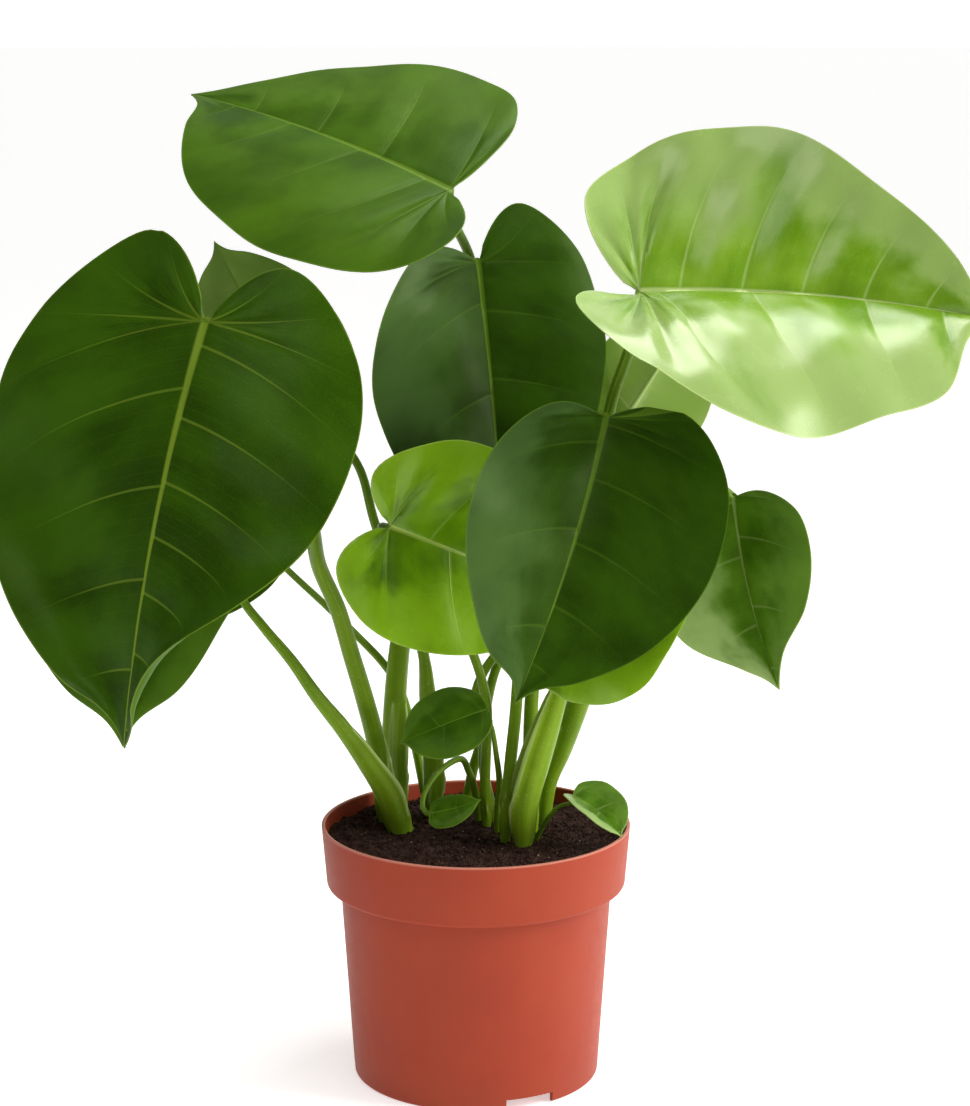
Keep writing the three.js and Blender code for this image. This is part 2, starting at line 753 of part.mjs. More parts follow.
// The pot: a tapered wall with a stepped collar, a foot with notches and a floor with drain holes
function potGeometry() {
  const round = POT_EDGE_ROUND;
  const profile = [
    [0, 0],
    [PAD_RADIUS, 0],
    [PAD_RADIUS + 1, FOOT_RAISE],
    [POT_FOOT_RADIUS - FOOT_WALL - 0.5, FOOT_RAISE],
    [POT_FOOT_RADIUS - FOOT_WALL, 0],
    [POT_FOOT_RADIUS - 1.5 * round, 0],
    [POT_FOOT_RADIUS - 0.2, 1.5 * round],
    [POT_WAIST_RADIUS, collarBottom + 1],
    [POT_COLLAR_RADIUS - round, collarBottom],
    [POT_COLLAR_RADIUS, collarBottom + round],
    [POT_RIM_RADIUS - 0.1, POT_HEIGHT - round],
    [POT_RIM_RADIUS - 0.6, POT_HEIGHT],
    [POT_RIM_RADIUS - POT_WALL + 0.2, POT_HEIGHT],
    [innerRadius(POT_HEIGHT - round), POT_HEIGHT - round],
    [innerRadius(collarBottom + POT_WALL + 0.5), collarBottom + POT_WALL + 0.5],
    [innerRadius(collarBottom), collarBottom + POT_WALL + 0.5],
    [innerRadius(floorTop), floorTop + 1],
    [innerRadius(floorTop) - 1, floorTop],
    [0, floorTop],
  ];
  let pot = solidOf(lathe(profile, POT_SIDES));
  for (let i = 0; i < NOTCH_COUNT; i += 1) {
    const notch = new THREE.BoxGeometry(24, NOTCH_WIDTH, 2 * FOOT_RAISE);
    notch.translate(POT_FOOT_RADIUS, 0, 0);
    notch.rotateZ(radians(NOTCH_ANGLE + (360 * i) / NOTCH_COUNT));
    pot = pot.subtract(solidOf(notch));
  }
  for (let i = 0; i < DRAIN_COUNT; i += 1) {
    const drain = new THREE.CylinderGeometry(DRAIN_RADIUS, DRAIN_RADIUS, 4 * FOOT_RAISE, 12).rotateX(Math.PI / 2);
    drain.translate(DRAIN_CIRCLE, 0, FOOT_RAISE);
    drain.rotateZ(radians(NOTCH_ANGLE + (360 * i) / DRAIN_COUNT));
    pot = pot.subtract(solidOf(drain));
  }
  return geometryFrom(pot);
}

function soilHeight(x, y) {
  const broad = Math.sin(x / 13 + 1.3) * Math.cos(y / 11 - 0.4);
  const fine = Math.sin(x / 5.1 - y / 6.3) * Math.cos(x / 7.7 + y / 4.9);
  return SOIL_LEVEL + SOIL_BUMP * (0.6 * broad + 0.4 * fine);
}

// The soil fills the pot to below the rim, with a plain hole for each stem
function soilGeometry(stems) {
  const top = SOIL_LEVEL - 1;
  const shelf = collarBottom + POT_WALL + 0.5 + FIT_GAP;
  const profile = [
    [0, floorTop + FIT_GAP],
    [innerRadius(floorTop) - 1 - FIT_GAP, floorTop + FIT_GAP],
    [innerRadius(collarBottom) - FIT_GAP, shelf],
    [innerRadius(shelf) - 3 * FIT_GAP, shelf],
    [innerRadius(top) - 2 * FIT_GAP, top],
  ];
  for (let ring = SOIL_RINGS; ring >= 0; ring -= 1) {
    profile.push([((innerRadius(top) - 3) * ring) / SOIL_RINGS, SOIL_LEVEL]);
  }
  const geometry = lathe(profile, POT_SIDES);
  const places = geometry.getAttribute("position");
  for (let i = 0; i < places.count; i += 1) {
    if (places.getZ(i) > SOIL_LEVEL - 0.01) {
      places.setZ(i, soilHeight(places.getX(i), places.getY(i)));
    }
  }
  let soil = solidOf(geometry);
  for (const stem of stems) {
    soil = soil.subtract(solidOf(stem));
  }
  return geometryFrom(soil);
}

function piece(name, geometry, color, roughness) {
  const mesh = new THREE.Mesh(geometry, new THREE.MeshStandardMaterial({ color, roughness, metalness: 0 }));
  mesh.name = name;
  return mesh;
}

const plant = new THREE.Group();
plant.add(piece("pot", potGeometry(), POT_COLOR, 0.45));
const holes = [];
LEAVES.forEach((leaf, i) => {
  const blade = bladeSurface(leaf, 1.7 * i);
  plant.add(piece(`leaf_${leaf.name}`, bladeGeometry(blade), leaf.color, 0.35));
  plant.add(piece(`stem_${leaf.name}`, stemGeometry(leaf, blade, 0), STEM_COLOR, 0.5));
  holes.push(stemGeometry(leaf, blade, FIT_GAP, SOIL_LEVEL + 30));
});
plant.add(piece("soil", soilGeometry(holes), SOIL_COLOR, 0.95));

export default plant;
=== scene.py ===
"""A young swiss cheese plant in a terracotta-coloured nursery pot, dressed round its solid model."""

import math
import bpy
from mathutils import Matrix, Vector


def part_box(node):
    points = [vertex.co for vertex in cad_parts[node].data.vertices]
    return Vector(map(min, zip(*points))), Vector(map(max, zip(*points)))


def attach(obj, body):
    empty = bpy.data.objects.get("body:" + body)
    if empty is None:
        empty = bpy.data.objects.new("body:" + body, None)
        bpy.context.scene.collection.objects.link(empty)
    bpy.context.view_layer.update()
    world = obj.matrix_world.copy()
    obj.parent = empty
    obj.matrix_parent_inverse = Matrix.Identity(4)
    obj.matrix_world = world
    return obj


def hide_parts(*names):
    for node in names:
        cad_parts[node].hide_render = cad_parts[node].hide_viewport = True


bl_info = {
    "name": "Potted Swiss Cheese Plant",
    "version": (1, 0, 0),
    "blender": (4, 5, 0),
    "location": "View3D > Sidebar > Plant",
    "description": "Blades, stems, soil and pot of a young swiss cheese plant, with a pale studio",
    "category": "Add Mesh",
}

from dataclasses import dataclass
from functools import partial

import bpy
import numpy as np
from bpy.props import FloatProperty, FloatVectorProperty, IntProperty, PointerProperty
from mathutils import Vector, noise

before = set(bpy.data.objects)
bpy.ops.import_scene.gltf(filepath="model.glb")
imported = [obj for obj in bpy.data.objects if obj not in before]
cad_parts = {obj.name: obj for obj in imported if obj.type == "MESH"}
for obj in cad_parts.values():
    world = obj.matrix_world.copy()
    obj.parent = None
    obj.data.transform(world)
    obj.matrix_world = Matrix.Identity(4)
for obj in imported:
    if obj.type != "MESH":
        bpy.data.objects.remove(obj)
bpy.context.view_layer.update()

MM = 0.001
SIDES = (1, -1)
UP = np.array([0.0, 0.0, 1.0])
POT_LOW, POT_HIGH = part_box("pot")
POT_HEIGHT = round((POT_HIGH.z - POT_LOW.z) / MM, 1)


def linear(hex_color):
    """An sRGB hex colour as linear red, green and blue."""
    values = [int(hex_color[i : i + 2], 16) / 255 for i in (0, 2, 4)]
    return tuple(v / 12.92 if v <= 0.04045 else ((v + 0.055) / 1.055) ** 2.4 for v in values)


def shade(hex_color):
    """The same as a colour with alpha, as shader sockets take it."""
    return (*linear(hex_color), 1.0)


@dataclass
class Half:
    """Half of a blade: width and back lobe in mm, shares of its length or width, and angles in degrees."""

    width: float
    lobe: float
    widest: float
    back: float
    cheek: float
    shoulder: float
    fold: float
    cup: float
    curl: float = 0


@dataclass
class Bend:
    """How a blade bends from its base to its tip, in degrees, and where its edges begin to curl."""

    arch: float
    sweep: float
    twist: float
    rise: float
    curl_from: float = 0.6


@dataclass
class Leaf:
    """A leaf: its blade from base to tip and its stem from foot to top, in mm, as in the solid model."""

    name: str
    skin: str
    base: tuple
    tip: tuple
    turn: float
    bend: Bend
    left: Half
    right: Half
    foot: tuple
    path: list
    radius: tuple
    sheath: float


# Name, skin, base, tip, turn, bend, left and right half, then the stem's foot, its points, its radius
# at foot and top with its taper, where a sheath swells it the swelling and the share of the stem that
# swells, and how far up the sheath's edges reach as a share of the stem
LEAVES = [
    Leaf(
        "upper_left", "middle",
        (-14, 20, 487), (-160, 107, 534), -31, Bend(13, -2, 7, 39),
        Half(89, 34, 0.43, 0.45, 0.8, 0.36, 8, -26),
        Half(85, 6, 0.21, 0.54, 0.72, 0.29, 8, -10),
        (16, -10),
        [(17, -10, 157), (19, -5, 178), (22, 4, 206), (24, 15, 241), (24, 28, 283), (18, 44, 342),
         (6, 57, 407), (-3, 52, 447)],
        (3.5, 2.6, 1.2), 0.12,
    ),
    Leaf(
        "upper_right", "newest",
        (86, -26, 437), (273, -44, 423), 26, Bend(5, 18, 30, 36),
        Half(92, 28, 0.31, 0.51, 0.64, 0.3, 30, 3),
        Half(104, 38, 0.46, 0.35, 0.76, 0.54, 22, -40),
        (26, -18),
        [(27, -17, 159), (33, -14, 181), (43, -10, 211), (57, -8, 252), (66, -6, 290), (70, -6, 329),
         (71, -8, 370), (81, -16, 405)],
        (4.6, 2.8, 1, 3.6, 0.34), 0.36,
    ),
    Leaf(
        "large_left", "mature",
        (-139, -50, 424), (-181, -90, 208), -16, Bend(23, 2, 14, 0, 0.4),
        Half(98, 35, 0.28, 0.35, 0.7, 0.22, -2, -30, 120),
        Half(124, 46, 0.4, 0.35, 0.73, 0.36, -2, 4, 70),
        (-50, 28),
        [(-55, 26, 176), (-61, 16, 206), (-68, 8, 234), (-75, 0, 262), (-84, -12, 288),
         (-87, -39, 318), (-99, -56, 348), (-119, -54, 380)],
        (6, 3, 1.2), 0.2,
    ),
    Leaf(
        "left_nested", "middle",
        (-150, -14, 382), (-185, -65, 202), -14, Bend(35, -12, -14, 0),
        Half(69, 37, 0.27, 0.5, 0.73, 0.41, -5, -11),
        Half(81, 37, 0.32, 0.5, 0.76, 0.38, 2, -11),
        (-42, 12),
        [(-48, 10, 154), (-60, 5, 175), (-72, 0, 194), (-86, -6, 214), (-100, -10, 236),
         (-115, -11, 255), (-127, -10, 272), (-144, 0, 326)],
        (10, 1.9, 3.2), 0.3,
    ),
    Leaf(
        "left_upturned", "middle",
        (-94, 1, 384), (-142, 37, 458), 153, Bend(13, 0, -11, 12),
        Half(40, 19, 0.34, 0.5, 0.79, 0.38, 7, -18),
        Half(40, 19, 0.32, 0.5, 0.77, 0.38, 13, -13),
        (-25, 38),
        [(-24, 37, 167), (-27, 34, 205), (-30, 31, 233), (-55, 20, 305), (-63, 13, 337), (-78, 3, 362)],
        (4, 1.9, 1.1, 2.4, 0.36), 0.15,
    ),
    Leaf(
        "left_hidden", "middle",
        (-125, 24, 304), (-177, 8, 252), -50, Bend(12, 0, 0, 10),
        Half(36, 16, 0.31, 0.5, 0.76, 0.36, 8, -12),
        Half(36, 16, 0.31, 0.5, 0.76, 0.36, 8, -12),
        (-28, 64),
        [(-43, 62, 201), (-52, 58, 217), (-67, 49, 236), (-83, 42, 254), (-108, 32, 281)],
        (3, 1.7, 1.2), 0.12,
    ),
    Leaf(
        "center_back", "dark",
        (1, 29, 447), (15, -2, 290), -8, Bend(7, 1, 18, -5),
        Half(67, 31, 0.27, 0.39, 0.77, 0.36, 17, -12),
        Half(74, 8, 0.45, 0.45, 0.75, 0.36, 18, -18),
        (-44, 46),
        [(-47, 47, 148), (-46, 50, 194), (-43, 52, 229), (-36, 55, 278), (-26, 55, 340), (-11, 49, 397)],
        (7.5, 2.8, 1.1), 0.25,
    ),
    Leaf(
        "center_front", "dark",
        (68, -40, 373), (20, -93, 232), -40, Bend(3, 12, -5, 12),
        Half(74, 9, 0.38, 0.53, 0.76, 0.34, 11, -8),
        Half(64, 2, 0.48, 0.35, 0.75, 0.38, 24, 6),
        (31, 12),
        [(30, 10, 189), (31, 11, 214), (34, 16, 241), (38, 17, 269), (49, 16, 305), (64, -11, 349)],
        (4.5, 2.6, 1.1), 0.2,
    ),
    Leaf(
        "young_cupped", "young",
        (-45, -35, 314), (57, 9, 265), 77, Bend(8, -1, -17, 17),
        Half(59, 22, 0.35, 0.35, 0.75, 0.36, 21, 10),
        Half(59, 25, 0.27, 0.49, 0.77, 0.36, 4, 1),
        (6, 15),
        [(5, 14, 158), (6, 12, 189), (6, 9, 206), (-1, 2, 235), (-19, -10, 272)],
        (3.2, 1.9, 1), 0.15,
    ),
    Leaf(
        "right_folded", "folded",
        (140, 12, 322), (163, -26, 223), 42, Bend(3, -16, 6, 12),
        Half(45, 0, 0.36, 0.4, 0.77, 0.23, 36, -18),
        Half(51, 22, 0.32, 0.5, 0.83, 0.3, 26, -15),
        (9, 30),
        [(4, 29, 169), (6, 31, 199), (13, 34, 225), (36, 34, 260), (68, 30, 294), (101, 24, 319),
         (129, 18, 328)],
        (3, 1.8, 1), 0.12,
    ),
    Leaf(
        "right_upturned", "newest",
        (81, 38, 358), (122, 36, 424), -95, Bend(8, -1, 8, 12),
        Half(38, 15, 0.31, 0.5, 0.76, 0.36, 14, -7),
        Half(33, 13, 0.36, 0.46, 0.76, 0.36, 14, -16),
        (37, 24),
        [(40, 23, 159), (47, 22, 177), (56, 20, 203), (69, 16, 241), (79, 14, 286), (83, 20, 326)],
        (3.8, 2.2, 1, 3.2, 0.7), 0.3,
    ),
    Leaf(
        "front_under", "young",
        (87, -43, 282), (27, -57, 231), -23, Bend(39, -5, -30, 12),
        Half(49, 16, 0.5, 0.47, 0.8, 0.46, 3, -20),
        Half(42, 18, 0.31, 0.5, 0.76, 0.36, 8, -12),
        (-6, 42),
        [(-2, 40, 160), (2, 38, 176), (0, 31, 208), (12, 24, 232), (35, 25, 250), (62, 12, 269),
         (82, -8, 283)],
        (3.2, 1.7, 1), 0.12,
    ),
    Leaf(
        "small_middle", "middle",
        (6, -36, 215), (-41, -44, 198), -40, Bend(12, 1, -22, 5),
        Half(20, 0, 0.45, 0.46, 0.8, 0.39, 8, -12),
        Half(20, 0, 0.43, 0.47, 0.79, 0.37, 7, -11),
        (12, 3),
        [(12, 2, 147), (13, 0, 163), (11, -11, 184), (9, -22, 200)],
        (2.4, 1, 1), 0.2,
    ),
    Leaf(
        "tiny_low", "middle",
        (-24, -41, 159), (3, -46, 168), 45, Bend(3, -17, 7, 5),
        Half(10, 1, 0.28, 0.5, 0.76, 0.36, -2, -18),
        Half(10, 1, 0.3, 0.49, 0.79, 0.37, 0, -16),
        (1, 30),
        [(0, 24, 150), (-4, 10, 168), (-9, -8, 180), (-20, -20, 176), (-28, -31, 166), (-28, -36, 159)],
        (2.4, 1.3, 1), 0.15,
    ),
    Leaf(
        "small_right", "folded",
        (53, -14, 161), (79, -34, 143), 3, Bend(30, 9, 12, 4),
        Half(17, 2, 0.41, 0.5, 0.8, 0.38, 24, 7),
        Half(15, 2, 0.38, 0.5, 0.76, 0.37, 17, 2),
        (33, -8),
        [(38, -11, 145), (46, -14, 155)],
        (2, 1, 1), 0.1,
    ),
]

# Shapes that every blade shares, as in the solid model
SINUS = 0.06
EDGE_WAVE = 1.1
WAVES_PER_LEAF = 2.6
LEFT_PHASE = 20
RIB_STATIONS = 40
OUTLINE_STEPS = [6, 6, 6, 10, 8, 4, 4]
FOLD_SLICES = 8
CURLED_WIDTH = 14
SMALL_LEAF = 60
MEDIUM_LEAF = 130
STEM_DEPTH = 14
SOIL_LEVEL = 134
SOIL_BUMP = 1.6
PHASE_STEP = 1.7

# A sheath's two edges: angle from the face towards the plant's middle, how widely each is rounded, both in
# radians, and how steeply the face between them is dented
SHEATH_ANGLE = math.radians(38)
SHEATH_SPREAD = 0.15
SHEATH_DENT = 0.84

# A stem's top: how far it stays below the blade's middle, its last stretch straight out of the blade's
# back, and how far its very end is lifted, in mm. Then the points along a stem
STEM_TOP_GAP = 0.85
STEM_LAST_STRETCH = 14
STEM_END_LIFT = 0.6
STEM_POINTS = 90
SMALL_STEM_POINTS = 36

# The knee below a blade, as shares of the stem's length and radius, and how far a foot is drawn in
KNEE_AT = 0.955
KNEE_WIDTH = 0.025
KNEE_SWELLING = 0.12
FOOT_TUCK = 0.22

# The dressed soil: sides and rings of its top, and height and width of its lumps in mm
SOIL_SIDES = 180
SOIL_RINGS = 66
SOIL_LUMPS = ((1.3, 6), (0.8, 2.4), (0.5, 1.1))

# Nursery pot: outer radii at the foot, below the collar, at the collar's lower edge and at the rim, in mm
POT_FOOT_RADIUS = 67.7
POT_WAIST_RADIUS = 74.8
POT_COLLAR_RADIUS = 82.1
POT_RIM_RADIUS = 85
POT_COLLAR_HEIGHT = 34.5
POT_WALL = 2
FOOT_RAISE = 6
FOOT_WALL = 3
PAD_RADIUS = 26
NOTCH_COUNT = 3
NOTCH_WIDTH = 28
NOTCH_ANGLE = -64
NOTCH_DEPTH = 24
DRAIN_COUNT = 6
DRAIN_RADIUS = 4.5
DRAIN_CIRCLE = 47

# Skins. Colours: the upper face and its deeper parts, the veins, the underside, the pale painted sheen
# towards the edge, and the tint that the green below gives the gloss. Shares: painted sheen on the right
# and the left half, how strongly the veins' lines and the rib show, roughness, gloss, coat and the light
# that comes through. Quilt scales the swellings between veins, and ruffle is the height of the broad waves in
# mm
SKINS = {
    "mature": dict(
        upper="2c4d04", deep="1e3803", vein="768f2a", under="4a6a1e", pale="3f6410", painted_sheen=(0.3, 0.05),
        lines=0.38, rib=0.8, rough=0.4, gloss=0.2, coat=0.04, through=0.02, quilt=0.9, ruffle=1.0,
        tint="b4d860",
    ),
    "dark": dict(
        upper="2a4806", deep="1b3204", vein="5d7a20", under="6f8b42", pale="557042", painted_sheen=(0.32, 0.0),
        lines=0.18, rib=0.75, rough=0.42, gloss=0.26, coat=0.04, through=0.02, quilt=1.0, ruffle=1.8,
        tint="b4d860",
    ),
    "middle": dict(
        upper="3f620a", deep="2b4a05", vein="6f8c30", under="7c964a", pale="5c7c2c", painted_sheen=(0.3, 0.1),
        lines=0.14, rib=0.6, rough=0.4, gloss=0.22, coat=0.04, through=0.04, quilt=0.6, ruffle=1.0,
        tint="b4d860",
    ),
    "folded": dict(
        upper="5a8414", deep="3a5f06", vein="a0b468", under="8aa058", pale="8da662", painted_sheen=(1.0, 0.15),
        lines=0.25, rib=0.7, rough=0.4, gloss=0.25, coat=0.04, through=0.04, quilt=0.7, ruffle=1.4,
        tint="cce08c",
    ),
    "young": dict(
        upper="689604", deep="3f6402", vein="a3ba52", under="92ac50", pale="8cb81c", painted_sheen=(0.6, 0.6),
        lines=0.2, rib=0.7, rough=0.22, gloss=0.5, coat=0.35, through=0.1, quilt=1.4, ruffle=2.4,
        tint="dcf090",
    ),
    "newest": dict(
        upper="7ba222", deep="5c860a", vein="b8cb80", under="7f9c40", pale="8da75c", painted_sheen=(1.0, 0.85),
        lines=0.3, rib=0.8, rough=0.22, gloss=0.5, coat=0.4, through=0.08, quilt=2.0, ruffle=3.0,
        tint="eef6c8",
    ),
}
# Length of a broad wave, and the relief of a blade of full length: depth or height and half width, in mm
RUFFLE_WAVE = 34
FULL_LENGTH = 150
VEIN_GROOVE = (0.35, 1.8)
VEIN_RIDGE = (0.35, 1.2)
RIB_GROOVE = 0.5
# The rib's half width at the tip, and how much wider it is at the base
RIB_HALF_WIDTH = (0.35, 1.9)
# Lines across a half: how far back along the midrib each starts, by its width, and its bend there
LINE_SLANT = 0.45
LINE_BEND = 0.2


class PlantSizes(bpy.types.PropertyGroup):
    """Sizes that a user may change."""

    blade_thickness: FloatProperty(
        name="Blade Thickness", description="Thickness of a leaf blade", default=0.8 * MM, unit="LENGTH"
    )
    rib_height: FloatProperty(
        name="Midrib Height", description="How far the midrib stands out below a large blade",
        default=1.5 * MM, unit="LENGTH",
    )
    vein_spacing: FloatProperty(
        name="Vein Spacing", description="Distance between side veins along the leaf's edge",
        default=44 * MM, unit="LENGTH",
    )
    quilting: FloatProperty(
        name="Quilting", description="How far a blade swells between its side veins",
        default=1.2 * MM, unit="LENGTH",
    )
    stem_sides: IntProperty(name="Stem Sides", description="Faces round a stem", default=40, min=8)
    sheath_edge: FloatProperty(
        name="Sheath Edge", description="Height of a sheath's two edges, as a share of the stem's radius",
        default=0.42, subtype="FACTOR",
    )
    pot_sides: IntProperty(name="Pot Sides", description="Faces round the pot", default=192, min=48)
    crumb_size: FloatProperty(
        name="Crumb Size", description="Size of the larger peat crumbs", default=2.8 * MM, unit="LENGTH"
    )
    crumb_density: FloatProperty(
        name="Crumb Density", description="Peat crumbs on a square metre of soil", default=170000
    )
    seed: IntProperty(name="Seed", description="Seed of the soil's random draws", default=4)


class PlantColors(bpy.types.PropertyGroup):
    """Colours that a user may change."""

    pot: FloatVectorProperty(
        name="Pot", description="Terracotta-coloured plastic", subtype="COLOR", default=linear("9f3d23")
    )
    soil: FloatVectorProperty(
        name="Soil", description="Damp peat", subtype="COLOR", default=linear("2a1914")
    )
    stem: FloatVectorProperty(
        name="Stem", description="Skin of the stems", subtype="COLOR", default=linear("789a16")
    )
    floor: FloatVectorProperty(
        name="Floor", description="Pale studio floor", subtype="COLOR", default=linear("f4f3f1")
    )


def sizes():
    """The sizes as the user has set them."""
    return bpy.context.scene.plant_sizes


def colors():
    """The colours as the user has set them."""
    return bpy.context.scene.plant_colors


def add_node(tree, kind, inputs=(), out=0, **settings):
    """Adds a node with its settings, gives its inputs their values or links, and returns one output."""
    node = tree.nodes.new(kind)
    for name, value in settings.items():
        setattr(node, name, value)
    for name, value in inputs.items() if isinstance(inputs, dict) else enumerate(inputs):
        if isinstance(value, bpy.types.NodeSocket):
            tree.links.new(value, node.inputs[name])
        else:
            node.inputs[name].default_value = value
    return node.outputs[out] if node.outputs else None


# Sockets of the Mix node where it mixes colours
MIX_FACTOR, MIX_A, MIX_B, MIX_RESULT = 0, 6, 7, 2
# Span of a value that is already a share
AS_IT_IS = (0.0, 1.0, 0.0, 1.0)
SMOOTH = {"interpolation_type": "SMOOTHSTEP"}


def layered(tree, body, layers):
    """Lays colours over a first one, each by a value and its span: from, to, and the shares at both."""
    for color, value, span in layers:
        share = add_node(tree, "ShaderNodeMapRange", (value, *span))
        inputs = {MIX_FACTOR: share, MIX_A: body, MIX_B: color}
        body = add_node(tree, "ShaderNodeMix", inputs, MIX_RESULT, data_type="RGBA")
    return body


def new_material(name, constants):
    """A material with these constants on its Principled shader's own sockets, and its tree."""
    material = bpy.data.materials.new(name)
    material.use_nodes = True
    for socket, value in constants.items():
        material.node_tree.nodes["Principled BSDF"].inputs[socket].default_value = value
    return material, material.node_tree


def close_material(tree, sources, relief, strength, depth):
    """Links what varies over the surface to the shader, with a relief of a depth in mm as its bump."""
    inputs = {"Height": relief, "Strength": strength, "Distance": depth * MM}
    sources = {**sources, "Normal": add_node(tree, "ShaderNodeBump", inputs)}
    for socket, source in sources.items():
        tree.links.new(source, tree.nodes["Principled BSDF"].inputs[socket])


def leaf_skin(name, skin):
    """Living leaf with a waxy cuticle: a soft gloss over mottled green, with paler veins and edges and a
    painted sheen.
    """
    constants = {
        "IOR": 1.45,
        "Specular IOR Level": skin["gloss"],
        "Specular Tint": shade(skin["tint"]),
        "Subsurface Weight": skin["through"],
        "Subsurface Radius": (0.8, 1.0, 0.2),
        "Subsurface Scale": 1.5 * MM,
        "Coat Weight": skin["coat"],
        "Coat Roughness": 0.22,
    }
    material, tree = new_material(name, constants)
    node = partial(add_node, tree)
    upper, deep, vein, below, pale = (shade(skin[key]) for key in ("upper", "deep", "vein", "under", "pale"))
    lateral, phase, spread, under, rib, margin = (
        node("ShaderNodeAttribute", out="Fac", attribute_name=key)
        for key in ("lateral", "phase", "spread", "under", "rib", "margin")
    )
    place = node("ShaderNodeTexCoord", out="Object")
    # Clouds of these sizes in mm and levels of detail
    broad, satin, patchy, pimply = (
        node("ShaderNodeTexNoise", {"Vector": place, "Scale": 1 / (size * MM), "Detail": detail})
        for size, detail in ((50, 2.0), (18, 2.0), (7, 3.0), (3, 2.0))
    )

    def vein_lines(count, near, far, fade):
        """Lines where count times the phase is whole, from near to far in mm wide, fading outwards."""
        turns = node("ShaderNodeMath", (phase, float(count)), operation="MULTIPLY")
        apart = node("ShaderNodeMath", (turns, 0.5), operation="PINGPONG")
        apart = node("ShaderNodeMath", (apart, spread), operation="MULTIPLY")
        width = node("ShaderNodeMapRange", (lateral, 0.0, 0.8, near * count, far * count), **SMOOTH)
        apart = node("ShaderNodeMath", (apart, width), operation="DIVIDE")
        line = node("ShaderNodeMapRange", (apart, 0.35, 1.0, 1.0, 0.0), **SMOOTH)
        fade = node("ShaderNodeMapRange", (lateral, *fade), **SMOOTH)
        return node("ShaderNodeMath", (line, fade), operation="MULTIPLY")

    side_veins = vein_lines(1, 1.1, 0.4, (0.3, 0.95, 1.0, 0.1))
    fine_veins = vein_lines(6, 0.5, 0.3, (0.1, 0.9, 0.1, 0.04))
    lines = node("ShaderNodeMath", (side_veins, fine_veins), operation="MAXIMUM")
    midrib = node("ShaderNodeMapRange", (rib, 0.4, 1.05, skin["rib"], 0.0), **SMOOTH)
    edge = node("ShaderNodeMapRange", (margin, 0.2, 0.8, 0.5, 0.0), **SMOOTH)
    frame_lines = node("ShaderNodeMath", (midrib, edge), operation="MAXIMUM")

    # Net of the finest veins, drawn at 1.6 mm so that it shows
    inputs = {"Vector": place, "Scale": 1 / (1.6 * MM)}
    net = node("ShaderNodeTexVoronoi", inputs, feature="DISTANCE_TO_EDGE")
    net = node("ShaderNodeMapRange", (net, 0.0, 0.12, 1.0, 0.0), **SMOOTH)

    # Broad streaks that run along the side veins
    streaks = node("ShaderNodeCombineXYZ", (phase, lateral))
    streaks = node("ShaderNodeVectorMath", (streaks, (1.1, 1.4, 0.0)), operation="MULTIPLY")
    streaks = node("ShaderNodeTexNoise", {"Vector": streaks, "Scale": 1.0, "Detail": 3.0})
    tone = node("ShaderNodeMath", (broad, 0.3), operation="MULTIPLY")
    tone = node("ShaderNodeMath", (streaks, 0.7, tone), operation="MULTIPLY_ADD")
    tone = node("ShaderNodeMapRange", (tone, 0.36, 0.62), **SMOOTH)
    patches = node("ShaderNodeMapRange", (patchy, 0.4, 0.7, 0.0, 0.16), **SMOOTH)
    outward = node("ShaderNodeMath", (streaks, 2.0, lateral), operation="MULTIPLY_ADD")
    outward = node("ShaderNodeMapRange", (outward, 1.2, 1.8), **SMOOTH)
    # Painted sheen in the pale colour, growing towards the edge in streaks: the left half, whose phase starts
    # at LEFT_PHASE, gets more or less of it than the right one
    painted_sheen = node("ShaderNodeMapRange", (phase, LEFT_PHASE - 2.0, LEFT_PHASE - 1.0, *skin["painted_sheen"]), **SMOOTH)
    painted_sheen = node("ShaderNodeMath", (painted_sheen, outward), operation="MULTIPLY")

    # The upper face's green: random tone, deeper patches, painted sheen in the pale colour, and the finest
    # veins
    green = layered(tree, deep, (
        (upper, tone, AS_IT_IS),
        (deep, patches, AS_IT_IS),
        (pale, painted_sheen, AS_IT_IS),
        (vein, net, (0.0, 1.0, 0.0, 0.05)),
    ))
    below = layered(tree, below, ((upper, tone, (0.0, 1.0, 0.0, 0.35)),))
    body = layered(tree, green, (
        (below, under, AS_IT_IS),
        (vein, lines, (0.0, 1.0, 0.0, skin["lines"])),
        (vein, frame_lines, AS_IT_IS),
    ))
    inputs = (satin, 0.3, 0.7, skin["rough"] - 0.05, skin["rough"] + 0.07)
    rough = node("ShaderNodeMapRange", inputs, **SMOOTH)
    rough = node("ShaderNodeMath", (under, 0.18, rough), operation="MULTIPLY_ADD")
    relief = 0.0
    for value, share in ((lines, -0.5), (net, -0.08), (pimply, 0.25)):
        relief = node("ShaderNodeMath", (value, share, relief), operation="MULTIPLY_ADD")
    close_material(tree, {"Base Color": body, "Roughness": rough}, relief, 0.35, 0.5)
    return material


